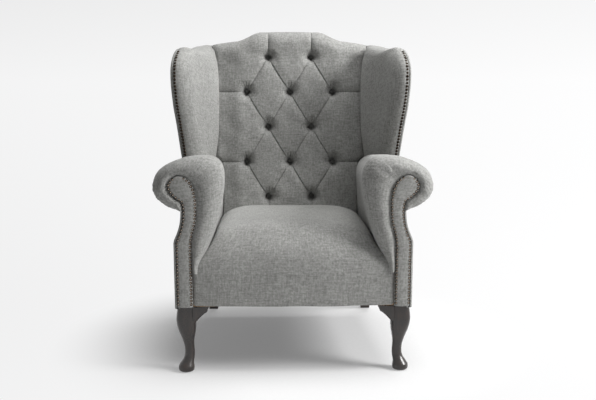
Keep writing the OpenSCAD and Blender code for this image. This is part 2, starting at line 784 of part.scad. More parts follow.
// Rounding of an arm's front: how far back a slice lies, as a share of the rounding's depth,
// and how much of the way from the hollow to the full outline it reaches
arm_round = 52;
arm_nose_shares = [[0, 0.12], [0.06, 0.42], [0.2, 0.68], [0.45, 0.88], [0.75, 0.975], [1, 1]];
arm_body_shares = [0.2, 0.45, 0.7, 1];
arm_nose_set = 2;
function mix(a, b, t) = a + (b - a) * t;
function nearest_x(p, hollow, i = 0, best = 0) =
    i >= len(hollow) ? hollow[best]
        : nearest_x(p, hollow, i + 1, norm(hollow[i] - p) < norm(hollow[best] - p) ? i : best);
function rear_y_at(z) = pad_back_y(z) - fit;
function arm_ring(y_share, swell, body) =
    let (outer = [for (i = [0 : len(arm_front) - 1])
             let (full = mix(arm_front[i], arm_rear[i], body),
                  near = nearest_x(full, arm_hollow_front),
                  p = swell < 1 ? mix(near, full, swell) : full)
             p],
         inner = [for (i = [0 : len(arm_hollow_front) - 1])
             mix(arm_hollow_front[i], arm_hollow_rear[i], body)],
         ring = concat(outer, inner))
    [for (i = [len(ring) - 1 : -1 : 0])
        let (p = ring[i], start = front_y + arm_nose_set + arm_round * y_share)
        [p[0], mix(start, rear_y_at(p[1]), body), p[1]]];
module arm_block() {
    loft(concat(
        [for (share = arm_nose_shares) arm_ring(share[0], share[1], 0)],
        [for (body = arm_body_shares) arm_ring(1, 1, body)]));
}

// The arms' stuffing ends above the rails and the bolts beside them
arm_foot_gap = 8;
module arm_pad(side) {
    color("gray") mirrored(side) difference() {
        arm_block();
        translate([0, -chair_d / 2, 0]) cube([arm_span, chair_d, rail_top + arm_foot_gap]);
        arm_rail_shape(fit);
        wing_frame(right) wing_plate(wing_frame_near - fit, wing_frame_far + fit)
            wing_post_shape(fit);
    }
}

// Seat: one tight crowned pad that falls over the front in a round nose. Each slice across it is
// a crowned shape between the arms' inner sides.
seat_side_shares = [0, 0.18, 0.4, 0.62, 0.8, 0.92];
seat_crown_shares = [0.87, 0.73, 0.55, 0.36, 0.18, 0];
seat_nose = 128;
seat_nose_drop = 92;
seat_side_drop = 26;
seat_nose_power = 2.4;
seat_crown_power = 2.6;
seat_spread_power = 0.8;
seat_wall = 100;
seat_slice_power = 1.5;
seat_front_half = arm_front[0][0] - 2 * fit;
seat_front_top_half = arm_front[3][0] - 2 * fit;
seat_rear_half = arm_rear[3][0] - 2 * fit;
seat_slices = 16;
function seat_top(y) =
    let (t = (y - front_y) / seat_nose)
    t >= 1 ? seat_h : seat_h - seat_nose_drop * pow(1 - t, seat_nose_power);
seat_gap = 2;
function seat_foot(y) = deck_z(y) + hessian_t + seat_gap;
function seat_slice(t) =
    let (y = front_y + fit + (seat_rear_y - fit - front_y) * t,
         top = seat_top(y) - seat_side_drop, foot = seat_foot(y),
         low_half = mix(seat_front_half, seat_rear_half, pow(t, seat_spread_power)),
         top_half = mix(seat_front_top_half, seat_rear_half, pow(t, seat_spread_power)),
         sides = [for (s = seat_side_shares)
             [mix(low_half, mix(low_half, top_half, min(1, (top - foot) / seat_wall)), s),
              mix(foot, top, s)]],
         edge = sides[len(sides) - 1][0],
         crown = [for (c = seat_crown_shares)
             [edge * c, top + seat_side_drop * (1 - pow(c, seat_crown_power))]],
         half_ring = concat(sides, crown),
         other = [for (i = [len(half_ring) - 2 : -1 : 0]) [-half_ring[i][0], half_ring[i][1]]])
    [for (p = concat(half_ring, other)) [p[0], y + (p[1] - foot) * tan(pad_rake) * t, p[1]]];
module seat_pad() {
    color("darkgray") loft([for (i = [0 : seat_slices])
        seat_slice(pow(i / seat_slices, seat_slice_power))]);
}

// Border below the seat's nose, over the front rail
module front_border() {
    top = seat_foot(front_y) - fit;
    color("gray") translate([-front_rail_x, front_y, rail_z])
        cube([2 * front_rail_x, border_t, top - rail_z]);
}

// Deep-buttoned back: a grid over the stuffed face, drawn in at the buttons and along the pleats
// between them. Four columns and four rows of the grid make half a diamond.
cell = 4;
cell_w = tuft_pitch / (2 * cell);
cell_h = tuft_row * cos(pad_rake) / cell;
tuft_rows = [1, 0, 1, 0, 1];
grid_half = 14;
grid_even = 11;
grid_low = 5;
grid_mid = cell * (len(tuft_rows) - 1);
grid_high = 5;
pleat_depth = 15;
pleat_w = 11;
dimple_w = 25;
edge_round = 30;
crest_round = 44;
neck_sink = 70;
neck_rise = 10;
neck_low = arm_h - neck_sink;
neck_high = arm_h + neck_rise;
back_arm_share = 0.8;
back_low_half = mix(arm_front[6][0], arm_rear[6][0], back_arm_share) - 2 * fit;
buttons = [for (r = [0 : len(tuft_rows) - 1], c = [-2 : 2])
    if (abs(c) % 2 == tuft_rows[r] && abs(c) <= 2) [c * cell, r * cell]];
function linked(a, b) = abs(a[0] - b[0]) == cell && b[1] - a[1] == cell;
pleats = concat(
    [for (a = buttons, b = buttons) if (linked(a, b)) [a, b]],
    [for (a = buttons) if (a[1] == grid_mid) [a, [a[0], grid_mid + grid_high]]],
    [for (a = buttons) if (a[1] == 0) [a, [a[0], -grid_low]]],
    [for (a = buttons) if (abs(a[0]) == 2 * cell) [a, [sign(a[0]) * grid_half, a[1]]]]);
function to_pleat(p, ends) =
    let (a = ends[0], way = ends[1] - a,
         t = max(0, min(1, ((p - a) * way) / (way * way))))
    (p - a - way * t);
function in_mm(v) = norm([v[0] * cell_w, v[1] * cell_h]);
function tuft(p) =
    let (pleat = min([for (ends = pleats) in_mm(to_pleat(p, ends))]),
         button = min([for (b = buttons) in_mm(p - b)]))
    pleat_depth * exp(-pow(pleat / pleat_w, 2))
        + (tuft_depth - pleat_depth) * exp(-pow(button / dimple_w, 2));
function side_half(z) =
    let (t = max(0, min(1, (z - neck_low) / (neck_high - neck_low))))
    mix(back_low_half, back_w / 2, t * t * (3 - 2 * t));
function grid_x(i, z) = abs(i) <= grid_even
    ? i * cell_w
    : sign(i) * mix(grid_even * cell_w, side_half(z),
                    (abs(i) - grid_even) / (grid_half - grid_even));
function grid_z(i, k) =
    let (top_row = tuft_low + grid_mid * cell_h,
         x = grid_x(i, top_row), crest = crest_z(x) - fit)
    k < 0 ? mix(tuft_low, pad_foot_z, -k / grid_low)
        : k <= grid_mid ? tuft_low + k * cell_h
        : mix(top_row, crest, (k - grid_mid) / grid_high);
function rounded(gap, size) = gap >= size ? 0 : size - sqrt(size * size - pow(size - gap, 2));
function pad_point(i, k) =
    let (z = grid_z(i, k), x = grid_x(i, z), crest = crest_z(x) - fit)
    [x, face_y(z) + tuft([i, k]) + rounded(side_half(z) - abs(x), edge_round)
        + rounded(crest - z, crest_round), z];
module back_pad() {
    columns = 2 * grid_half + 1;
    rows = grid_low + grid_mid + grid_high + 1;
    face = [for (k = [-grid_low : grid_mid + grid_high], i = [-grid_half : grid_half])
        pad_point(i, k)];
    rim = concat(
        [for (c = [0 : columns - 1]) c],
        [for (r = [1 : rows - 1]) r * columns + columns - 1],
        [for (c = [columns - 2 : -1 : 0]) (rows - 1) * columns + c],
        [for (r = [rows - 2 : -1 : 1]) r * columns]);
    back = [for (i = rim) [face[i][0], pad_back_y(face[i][2]), face[i][2]]];
    base = len(face);
    cells = [for (r = [0 : rows - 2], c = [0 : columns - 2])
        let (a = r * columns + c, b = a + 1, d = a + columns, e = d + 1,
             slope = (c - grid_half + r - grid_low + 1) % (2 * cell))
        each abs(slope) == cell ? [[a, b, d], [b, e, d]] : [[a, b, e], [a, e, d]]];
    sides = [for (i = [0 : len(rim) - 1])
        let (j = (i + 1) % len(rim))
        each [[rim[j], rim[i], base + i], [rim[j], base + i, base + j]]];
    middle_z = (pad_foot_z + shoulder_h) / 2;
    middle = [[0, pad_back_y(middle_z), middle_z]];
    hub = base + len(rim);
    fan = [for (i = [0 : len(rim) - 1]) [base + (i + 1) % len(rim), base + i, hub]];
    color("gray") difference() {
        union() {
            polyhedron(concat(face, back, middle), [for (f = concat(cells, sides, fan))
                [f[2], f[1], f[0]]]);
            crest_wrap();
        }
        for (b = buttons) at_button(b) cylinder(d = button_d + 2 * fit, h = tuft_depth);
    }
}

// The part of the stuffing that lies over the top rail
wrap_inset = 1;
wrap_lap = 4;
module crest_wrap() {
    far = post_d / 2;
    near = -far - layers_t - wrap_lap;
    difference() {
        raked_plate(post_top, (far + near) / 2, far - near)
            crest_outline(back_w / 2, post_top, wrap_inset);
        raked_plate(post_top - over, 0, 2 * (over - near))
            crest_outline(post_x + post_w / 2, post_top - over, crest_edge - fit);
    }
}

module at_button(b) {
    at = pad_point(b[0], b[1]);
    translate(at) rotate([90 - pad_rake, 0, 0]) children();
}

// Covered buttons at the bottoms of the tufts
module back_buttons() {
    color("dimgray") for (b = buttons)
        at_button(b) translate([0, 0, fit]) dome(button_d, button_t);
}

// Stuffing inside the wings, wrapped over the front of each wing's post
wing_round = 13;
wing_crown = 66;
wing_crown_over = 1.07;
wing_seam = 12;
function reach_at(rise, i = 0) =
    i >= len(wing_edge) - 2 || rise <= wing_edge[i + 1][1]
        ? mix(wing_edge[i][0], wing_edge[i + 1][0],
              max(0, (rise - wing_edge[i][1]) / (wing_edge[i + 1][1] - wing_edge[i][1])))
        : reach_at(rise, i + 1);
function wing_meet(rise) =
    let (z = sweep_z + rise)
    post_line(rise) + (post_y(z) - face_y(z)) / cos(wing_splay);
function wing_ring(rise, swell, fill) =
    let (edge = reach_at(rise), back = post_line(rise) + post_d / 2 + wing_pad_back,
         deep = -wing_frame_far - fit, face = deep - wing_stuff * swell,
         full = face - wing_fill * fill * swell, meet = wing_meet(rise),
         nose = edge - wing_rim + fit)
    [for (p = [
        [deep, back], [deep, nose], [-wing_frame_near - fit, nose],
        [-wing_seam + fit, nose + wing_rim * 0.3], [-wing_seam, edge - wing_rim * 0.25],
        [-wing_seam - wing_round * 0.5, edge - fit],
        [-wing_seam - wing_round * 1.4, edge - wing_rim * 0.06],
        [mix(deep, face, 0.35), edge - wing_rim * 0.5],
        [mix(deep, face, 0.8), edge - wing_rim * 1.2],
        [face, edge - wing_rim * 2.2],
        [mix(face, full, 0.6), mix(edge - wing_rim * 2.2, meet, 0.5)],
        [full, meet], [full, back],
    ]) [p[0], -p[1], rise]];
wing_pad_back = 26;
wing_fill_shares = [0.3, 0.55, 0.85, 0.97, 1, 1, 0.98, 0.93, 0.85, 0.75, 0.6];
wing_pad_sink = 60;
wing_pad_low = rise_of(wing_foot - wing_pad_sink);
wing_panel_sink = 14;
wing_panel_low = rise_of(wing_foot - wing_panel_sink);
module wing_pad_block() {
    last = len(wing_edge) - 1;
    rises = concat([wing_pad_low], [for (i = [0 : last]) wing_edge[i][1] - (i == last ? fit : 0)]);
    high = rises[last + 1];
    wing_frame(right) loft([for (i = [0 : last + 1])
        let (t = max(0, (rises[i] - (high - wing_crown)) / (wing_crown * wing_crown_over)))
        wing_ring(rises[i], sqrt(1 - t * t), wing_fill_shares[i])]);
}

module wing_pad(side) {
    color("gray") mirrored(side) difference() {
        wing_pad_block();
        grown_arm();
        arm_rail_shape(fit);
        back_keep();
    }
}

// The arm's outline with a clearance round it, used to cut what stands on the arm
arm_clear = 3 * fit;
module grown_arm() {
    loft([for (body = concat([0], arm_body_shares))
        let (line = [for (i = [0 : len(arm_rear) - 1]) mix(arm_front[i], arm_rear[i], body)],
             ring = concat([line[0]], moved(line, -arm_clear), [line[len(line) - 1]]),
             start = front_y + arm_nose_set + arm_round)
        [for (i = [len(ring) - 1 : -1 : 0])
            [ring[i][0], mix(start, rear_y_at(ring[i][1]), body), ring[i][1]]]]);
}

// Keeps a wing's stuffing clear of the buttoned back
back_keep_gap = 1;
module back_keep() {
    side_plate(back_w + 2 * fit) polygon([
        [face_y(0) - back_keep_gap, 0], [face_y(chair_h_all) - back_keep_gap, chair_h_all],
        [chair_d, chair_h_all], [chair_d, 0],
    ]);
}
chair_h_all = shoulder_h + hump_rise + crest_crown + over;

// Outside panels
outside_arm_steps = 3;
outside_arm_hollow = 3;
module outside_arm(side) {
    outline = concat([[outer_line[0][0], rail_z - over]], [for (i = [0 : 6]) outer_line[i]]);
    skin = moved(outline, board_gap + fit);
    edge = concat([[skin[0][0], rail_z]], skin);
    function rear_y(z) = post_mid_y + (z - sweep_z) * tan(frame_rake) - 2 * fit;
    function wall(in) = [for (r = [0 : outside_arm_steps])
        let (t = r / outside_arm_steps)
        [for (p = edge)
            [mix(p[0] + panel_t - in, rear_w / 2 - in, t) - outside_arm_hollow * sin(180 * t),
             mix(front_y + fit, rear_y(p[1]), t), p[1]]]];
    color("gray") mirrored(side) sheet(wall(0), wall(panel_t));
}

module outside_wing(side) {
    color("gray") mirrored(side) difference() {
        wing_frame(right) wing_plate(0, panel_t) wing_outline(0, 0, wing_panel_low, fit);
        grown_arm();
    }
}

module outside_back() {
    shell_back = post_d / 2 + fit + panel_t / 2;
    return_d = shell_back + panel_t / 2;
    x_half = rear_w / 2;
    up = 1 / cos(frame_rake);
    color("gray") difference() {
        union() {
            raked_plate(rail_z, shell_back, panel_t) crest_outline(x_half, rail_z, fit);
            for (side = [left, right]) mirrored(side)
                raked_plate(rail_z, return_d / 2, return_d)
                translate([x_half - panel_t + fit, 0]) square([panel_t - fit, crest_side_l]);
        }
        translate([-chair_d, -chair_d / 2, -over]) cube([2 * chair_d, chair_d * 2, rail_z + over]);
        for (side = [left, right]) mirrored(side)
            translate([post_x, 0, 0]) side_plate(post_w + 2 * fit) post_outline(fit);
    }
}
crest_side_drop = 30;
crest_side_l = shoulder_h - rail_z - crest_side_drop;

// Black cloth under the frame
cover_t = 0.8;
cover_in = 3;
module bottom_cover() {
    front = front_rail_y + cover_in;
    bracket_x = corner_x - bracket_in - bracket_l - fit;
    bracket_y = front_y + set_in + bracket_t + fit;
    leg_x = corner_x - bracket_in;
    leg_y = front_y + bracket_in + fit;
    side_x = corner_x - set_in - bracket_t - fit;
    side_y = leg_y + bracket_l + fit;
    rear_x = post_x - post_w / 2 - fit;
    half_plan = [
        [0, front], [bracket_x, front], [bracket_x, bracket_y], [leg_x, bracket_y],
        [leg_x, leg_y], [side_x, leg_y], [side_x, side_y], [side_front_x - cover_in, side_y],
        [side_rear_x - cover_in, side_rear_y - post_w], [rear_x, side_rear_y - post_w],
        [rear_x, back_rail_y + rail_t - cover_in], [0, back_rail_y + rail_t - cover_in],
    ];
    other_half = [for (i = [len(half_plan) - 2 : -1 : 1]) [-half_plan[i][0], half_plan[i][1]]];
    color([0.1, 0.1, 0.1]) translate([0, 0, rail_z - cover_t - fit]) linear_extrude(cover_t)
        polygon(concat(half_plan, other_half));
}

// Domed nails
module dome(diameter, height) {
    radius = (diameter * diameter / 4 + height * height) / (2 * height);
    intersection() {
        translate([0, 0, height - radius]) sphere(r = radius);
        cylinder(d = diameter, h = height);
    }
}

module nail() {
    rotate([90, 0, 0]) dome(nail_d, nail_h);
}

module arm_nails(side) {
    color([0.35, 0.29, 0.2]) mirrored(side) for (p = spaced(nail_line, nail_pitch))
        translate([p[0], front_y, p[1]]) nail();
}

module wing_nails(side) {
    line = [for (i = [0 : len(wing_edge) - 2]) wing_edge[i]];
    color([0.35, 0.29, 0.2]) wing_frame(side) for (p = spaced(line, nail_pitch))
        translate([-wing_seam - nail_d / 2, -p[0], p[1]]) rotate([p[2], 0, 0])
            translate([0, -fit, 0]) nail();
}

// One line draws each piece
front_seat_rail();
back_seat_rail();
side_seat_rail(left);  // side_seat_rail_left
side_seat_rail(right);  // side_seat_rail_right
corner_blocks();
back_post(left);  // back_post_left
back_post(right);  // back_post_right
crest_rail();
lower_back_rail();
scroll_board(left);  // scroll_board_left
scroll_board(right);  // scroll_board_right
arm_rail(left);  // arm_rail_left
arm_rail(right);  // arm_rail_right
arm_tack_rail(left);  // arm_tack_rail_left
arm_tack_rail(right);  // arm_tack_rail_right
wing_post(left);  // wing_post_left
wing_post(right);  // wing_post_right
wing_top_rail(left);  // wing_top_rail_left
wing_top_rail(right);  // wing_top_rail_right
front_leg(left);  // front_leg_left
front_leg(right);  // front_leg_right
knee_brackets();
leg_bolts();
glides();
seat_springs();
spring_clips();
seat_hessian();
back_webbing();
back_hessian();
seat_pad();
front_border();
back_pad();
back_buttons();
arm_pad(left);  // arm_pad_left
arm_pad(right);  // arm_pad_right
wing_pad(left);  // wing_pad_left
wing_pad(right);  // wing_pad_right
arm_facing(left);  // arm_facing_left
arm_facing(right);  // arm_facing_right
outside_arm(left);  // outside_arm_left
outside_arm(right);  // outside_arm_right
outside_wing(left);  // outside_wing_left
outside_wing(right);  // outside_wing_right
outside_back();
bottom_cover();
arm_nails(left);  // arm_nails_left
arm_nails(right);  // arm_nails_right
wing_nails(left);  // wing_nails_left
wing_nails(right);  // wing_nails_right
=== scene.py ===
import math

import bpy
import numpy as np
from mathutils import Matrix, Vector
from numpy.linalg import norm


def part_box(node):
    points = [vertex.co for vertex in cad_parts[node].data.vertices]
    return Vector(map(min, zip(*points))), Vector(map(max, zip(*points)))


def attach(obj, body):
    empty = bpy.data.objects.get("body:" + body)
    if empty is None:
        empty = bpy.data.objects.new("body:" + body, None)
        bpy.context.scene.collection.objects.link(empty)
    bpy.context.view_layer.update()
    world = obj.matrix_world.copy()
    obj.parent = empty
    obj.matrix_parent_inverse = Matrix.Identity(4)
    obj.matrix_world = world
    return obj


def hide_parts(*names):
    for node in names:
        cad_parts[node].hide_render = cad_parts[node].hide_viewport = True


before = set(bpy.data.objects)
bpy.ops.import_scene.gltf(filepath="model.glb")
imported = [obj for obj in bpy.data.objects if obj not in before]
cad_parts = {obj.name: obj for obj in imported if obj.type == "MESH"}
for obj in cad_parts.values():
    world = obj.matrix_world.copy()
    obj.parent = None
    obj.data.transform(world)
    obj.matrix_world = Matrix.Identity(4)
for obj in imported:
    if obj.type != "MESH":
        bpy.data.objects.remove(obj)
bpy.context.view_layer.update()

# Sizes taken from the frame
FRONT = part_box("arm_facing_right")[0][1]
(_, _, RAIL_Z), (_, _, RAIL_TOP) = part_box("front_seat_rail")
(ARM_IN, _, _), (ARM_OUT, _, ARM_TOP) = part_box("arm_pad_right")
REAR_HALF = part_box("outside_back")[1][0]

# Sizes repeated from the part's source
CHAIR_D = 0.77
BODY_HALF = 0.3665
HEEL_D = 0.034
LEG_SWEEP = 0.115
POST_D = 0.044
POST_OUT = 0.3157
RAKE = math.radians(7)
PAD_RAKE = math.radians(8.5)
SEAT_D = 0.515
SEAT_H = 0.455
BACK_W = 0.562
SHOULDER_Z = 1.018
NAIL_D = 0.01
SIDES = ((-1, "left"), (1, "right"))

# The cover's top edge, and that of the wooden crest rail under it
CREST_TOP = 1.0705
HUMP_RISE = 0.027
HUMP_W = 0.391
HUMP_RUN = 0.0955
CROWN = 0.02
CREST_POWER = 2.5
RAIL_RISE = 0.036
RAIL_W = 0.41
RAIL_RUN = 0.1
RAIL_POWER = 4
RAIL_INSET = 0.0035

SWEEP_Z = RAIL_Z + (RAIL_TOP - RAIL_Z) / 4
POST_MID_Y = CHAIR_D / 2 - HEEL_D / 2 - LEG_SWEEP


def mix(a, b, t):
    """The value a share t of the way from a to b."""
    return a + (b - a) * t


def unit(count):
    """Evenly spaced shares from 0 to 1."""
    return np.linspace(0, 1, count)


def crowded(count, power):
    """Shares from -1 to 1, closer together toward both ends."""
    u = np.linspace(-1, 1, count)
    return np.sign(u) * (1 - (1 - np.abs(u)) ** power)


def ease(t):
    """A share that starts and ends gently."""
    t = np.clip(t, 0, 1)
    return t * t * (3 - 2 * t)


def step(value, start, run):
    """A gentle step from 0 to 1 over a run after a start, or before it for a run below 0."""
    return ease((value - start) / run)


def post_y(z):
    """Middle of the back posts at a height above the sweep."""
    return POST_MID_Y + (z - SWEEP_Z) * math.tan(RAKE)


def face_y(z):
    """Plane of the stuffed back's face."""
    return FRONT + SEAT_D + (z - SEAT_H) * math.tan(PAD_RAKE)


def crest_z(x):
    """Top edge of the back at a distance from the middle."""
    x = np.abs(x)
    fall = HUMP_RISE * ease(1 - (HUMP_W / 2 - x) / HUMP_RUN)
    return CREST_TOP - fall - CROWN * np.minimum(1, x / (BACK_W / 2)) ** CREST_POWER


def rail_cover_z(x):
    """Height at which the cover clears the fuller crest rail."""
    x = np.abs(x)
    hump = RAIL_RISE * step(x, RAIL_W / 2, -RAIL_RUN)
    crown = CROWN * (1 - np.minimum(1, x / (BACK_W / 2)) ** RAIL_POWER)
    return SHOULDER_Z + hump + crown - RAIL_INSET


# Curves and skins
WAVES = 7
WAVE_SIZES = (0.7, 1.4)
WAVE_SUM = 4


def spline(points, count):
    """Points of a smooth curve through the given ones."""
    p = np.asarray(points, float)
    p = np.vstack([2 * p[0] - p[1], p, 2 * p[-1] - p[-2]])
    s = np.linspace(0, len(p) - 3, count)
    i = np.minimum(s.astype(int), len(p) - 4)
    t = (s - i)[:, None]
    a, b, c, d = p[i], p[i + 1], p[i + 2], p[i + 3]
    return 0.5 * (2 * b + (c - a) * t + (2 * a - 5 * b + 4 * c - d) * t ** 2
                  + (3 * b - a - 3 * c + d) * t ** 3)


def along(points):
    """Length along a line at each of its points."""
    steps = norm(np.diff(points, axis=0), axis=1)
    return np.concatenate([[0], np.cumsum(steps)])


def pick(line, places, at):
    """Points of a line at other values of its points' places."""
    return np.column_stack([np.interp(at, places, values) for values in line.T])


def even(points, count):
    """Points at equal steps along a line."""
    run = along(points)
    return pick(points, run, unit(count) * run[-1])


def upright(line, y):
    """A line across and up, set at y."""
    return np.column_stack([line[:, 0], y, line[:, 1]])


def outward(line):
    """Unit normals of a plane line, to the right of its direction."""
    way = np.gradient(line, axis=0)
    normal = np.column_stack([way[:, 1], -way[:, 0]])
    return normal / norm(normal, axis=1)[:, None]


def ripple(p, size, seed):
    """Smooth unevenness from -1 to 1 over points, with waves of about a size."""
    rng = np.random.default_rng(seed)
    total = np.zeros(p.shape[:-1])
    for _ in range(WAVES):
        way = rng.normal(size=p.shape[-1])
        way *= 2 * np.pi / (size * norm(way)) * rng.uniform(*WAVE_SIZES)
        total += np.sin(p @ way + rng.uniform(0, 2 * np.pi))
    return total / WAVE_SUM


def turned(a, b, angle):
    """A plane place turned by an angle."""
    c, s = math.cos(angle), math.sin(angle)
    return a * c - b * s, a * s + b * c


def rounding(gap, size):
    """How far a rounded edge has dropped back at a distance inside it."""
    inside = np.clip(gap, 0, size)
    return size - np.sqrt(np.maximum(size ** 2 - (size - inside) ** 2, 0))


def put(name, data):
    """A new object in the scene."""
    item = bpy.data.objects.new(name, data)
    bpy.context.scene.collection.objects.link(item)
    return item


def grid_faces(rows, columns, closed=False):
    """Quads over rows of points, joined round each row where it is closed."""
    last = columns if closed else columns - 1
    return [(r * columns + c, r * columns + (c + 1) % columns,
             (r + 1) * columns + (c + 1) % columns, (r + 1) * columns + c)
            for r in range(rows - 1) for c in range(last)]


def grid_skin(name, grid, material, side=1, closed=False, flip=False):
    """A piece over a grid of points, mirrored for the left. Its UVs are lengths in metres."""
    rows, columns = grid.shape[:2]
    faces = grid_faces(rows, columns, closed)
    if flip != (side < 0):
        faces = [face[::-1] for face in faces]
    across, up = along(grid[rows // 2]), along(grid[:, columns // 2])
    mesh = bpy.data.meshes.new(name)
    mesh.from_pydata((grid.reshape(-1, 3) * (side, 1, 1)).tolist(), [], faces)
    mesh.shade_smooth()
    layer = mesh.uv_layers.new(name="UVMap")
    for loop, place in zip(mesh.loops, layer.data):
        row, column = divmod(loop.vertex_index, columns)
        place.uv = across[column], up[row]
    piece = put(name, mesh)
    mesh.materials.append(material)
    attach(piece, "root")
    return piece


def cover(name, grid, cloth, nodes, side=1, flip=False):
    """A padded cloth skin that stands for soft nodes."""
    piece = grid_skin(name, grid, cloth, side, flip=flip)
    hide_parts(*nodes)


# Deep-buttoned back. The field is a grid in steps of a cell; a pleat crosses one cell in each
# direction, so the crease lines run along the grid's diagonals.
PITCH = 0.156
TUFT_ROW = 0.127
TUFT_LOW = 0.475
TUFT_D = 0.056
CELL = 42
CELL_W = PITCH / (2 * CELL)
CELL_H = TUFT_ROW * math.cos(PAD_RAKE) / CELL
BUTTON_ROWS = [1, 0, 1, 0, 1]
EVEN_HALF = 11 * CELL // 4
FIELD_HALF = 11 * CELL // 3
FIELD_LOW = 4 * CELL // 3
FIELD_UP = CELL
FIELD_TOP = CELL * (len(BUTTON_ROWS) - 1)
BUTTONS = [(c * CELL, r * CELL) for r, odd in enumerate(BUTTON_ROWS)
           for c in range(-2, 3) if abs(c) % 2 == odd]

# Pleats: depths along them, how steeply they rise from the buttons, and how a fold laps over
FOLD_D = 0.01
LINE_D = 0.0075
INNER_POWER = 6
OUTER_POWER = 9
ON_LINE = 0.3
FOLD_W = 0.008
FOLD_POWER = 0.4
FOLD_SHIFT = (0.00408, 0.003, 0.002544)
GROOVE = 0.0028
PRESSED_R = 0.0095

# The stretched cover springs back over two reaches, each relaxed in a number of rounds
FAR_REACH, FAR_ROUNDS = 0.036, 1400
NEAR_REACH, NEAR_ROUNDS = 0.0095, 260
NEAR_SHARE = 0.68

# The back's outline, narrower between the arms than above, its rolled sides and its edges
PAD_FOOT = 0.321
NECK_ZS = (0.578, 0.6, 0.614, 0.622)
NECK_XS = (0.244, 0.252, 0.268, 0.283)
SIDE_ROLL = 0.015
ROLL_RUN = (0.165, 0.09)
ROLL_LEAST, ROLL_TOP_H = 0.35, 0.09
BACK_EDGE_R = 0.03
FOOT_EDGE_R = 0.006
CHANGE_H = 0.05
SEAM_GAP = 0.001
TOP_SHARE, TOP_SHARE_H = 0.6, 0.05
LUMP, LUMP_W = 0.0012, 0.09
CREST_R = 0.046
CREST_BACK = 0.378
CREST_LIP = 0.012
DIP, DIP_H = 0.5, 0.03
TOP_BULGE, CREST_FALL = 0.0025, 0.004
CREST_ROWS, LIP_ROWS = 13, 5
RAIL_BLEND = (0.29, 0.024)


def pleat_lines():
    """Pairs of grid places that a pleat joins, each with its depth."""
    lines = [(a, b, FOLD_D if b[0] < a[0] else LINE_D) for a in BUTTONS for b in BUTTONS
             if abs(a[0] - b[0]) == CELL and b[1] - a[1] == CELL]
    lines += [(b, (b[0], FIELD_TOP + FIELD_UP), FOLD_D) for b in BUTTONS if b[1] == FIELD_TOP]
    lines += [(b, (b[0], -FIELD_LOW), FOLD_D) for b in BUTTONS if b[1] == 0]
    lines += [(b, (math.copysign(FIELD_HALF, b[0]), b[1]), LINE_D)
              for b in BUTTONS if abs(b[0]) == 2 * CELL]
    return lines


def membrane(fixed, held, reach, rounds):
    """Depths of a stretched cover that is held at places and springs back over a reach."""
    wx, wz = 1 / CELL_W ** 2, 1 / CELL_H ** 2
    total = 2 * (wx + wz) + 1 / reach ** 2
    field = held.copy()
    for _ in range(rounds):
        wide = np.pad(field, 1, mode="edge")
        around = (wx * (wide[1:-1, 2:] + wide[1:-1, :-2])
                  + wz * (wide[2:, 1:-1] + wide[:-2, 1:-1]))
        field = np.where(fixed, held, around / total)
    return field


def line_distance(columns, rows, ends):
    """Each grid place's distance in metres from a line, share along it, and side of it."""
    (ax, az), (bx, bz) = ends
    way = np.array([(bx - ax) * CELL_W, (bz - az) * CELL_H])
    size = norm(way)
    px, pz = (columns - ax) * CELL_W, (rows - az) * CELL_H
    share = np.clip((px * way[0] + pz * way[1]) / size ** 2, 0, 1)
    dx, dz = px - share * way[0], pz - share * way[1]
    return np.hypot(dx, dz), share, np.sign(dz)


def button_gathers(number, gap, turn):
    """Depths of the pleats round a button and of the dent above it."""
    sway, spread = 1.45 + 0.12 * math.sin(3 * number), 0.75
    inner, outer = (0.009, 0.006), (0.046, -0.026)
    waves, shift, power = 10, 2.1, 1.5
    depth, least = 0.0052, 0.15
    dent, reach = 0.006, (0.044, -0.036)
    upward = np.exp(-((turn - sway) / spread) ** 2)
    ring = step(gap, *inner) * step(gap, *outer)
    valley = (1 - np.abs(np.sin(waves * turn + shift * number))) ** power
    return ring * (least + upward) * depth * valley, dent * upward * step(gap, *reach)


def tufted_field():
    """Depth of the cover over the grid, and how far it is folded over its pleats."""
    columns, rows = np.meshgrid(np.arange(-FIELD_HALF, FIELD_HALF + 1),
                                np.arange(-FIELD_LOW, FIELD_TOP + FIELD_UP + 1))
    fixed = np.zeros(columns.shape, bool)
    held = np.zeros(columns.shape)
    fold = np.zeros(columns.shape)
    for start, end, deep in pleat_lines():
        gap, share, above = line_distance(columns, rows, (start, end))
        on_line = gap < ON_LINE * CELL_W
        joins = end in BUTTONS
        near = np.abs(2 * share - 1) if joins else 1 - share
        at = deep + (TUFT_D - deep) * near ** (INNER_POWER if joins else OUTER_POWER)
        fixed |= on_line
        held = np.where(on_line, np.maximum(held, at), held)
        if joins and deep == FOLD_D:
            lap = np.exp(-(gap / FOLD_W) ** 2) * np.sin(np.pi * share) ** FOLD_POWER
            fold = np.maximum(fold, np.where(above > 0, lap, 0))
    gathers = GROOVE * fixed
    for number, (bx, bz) in enumerate(BUTTONS):
        dx, dz = (columns - bx) * CELL_W, (rows - bz) * CELL_H
        gap = np.hypot(dx, dz)
        pressed = gap < PRESSED_R
        fixed |= pressed
        held = np.where(pressed, TUFT_D, held)
        for part in button_gathers(number, gap, np.arctan2(dz, dx)):
            gathers += part
    far = membrane(fixed, held, FAR_REACH, FAR_ROUNDS)
    near = membrane(fixed, held, NEAR_REACH, NEAR_ROUNDS)
    return mix(far, near, NEAR_SHARE) + gathers, fold


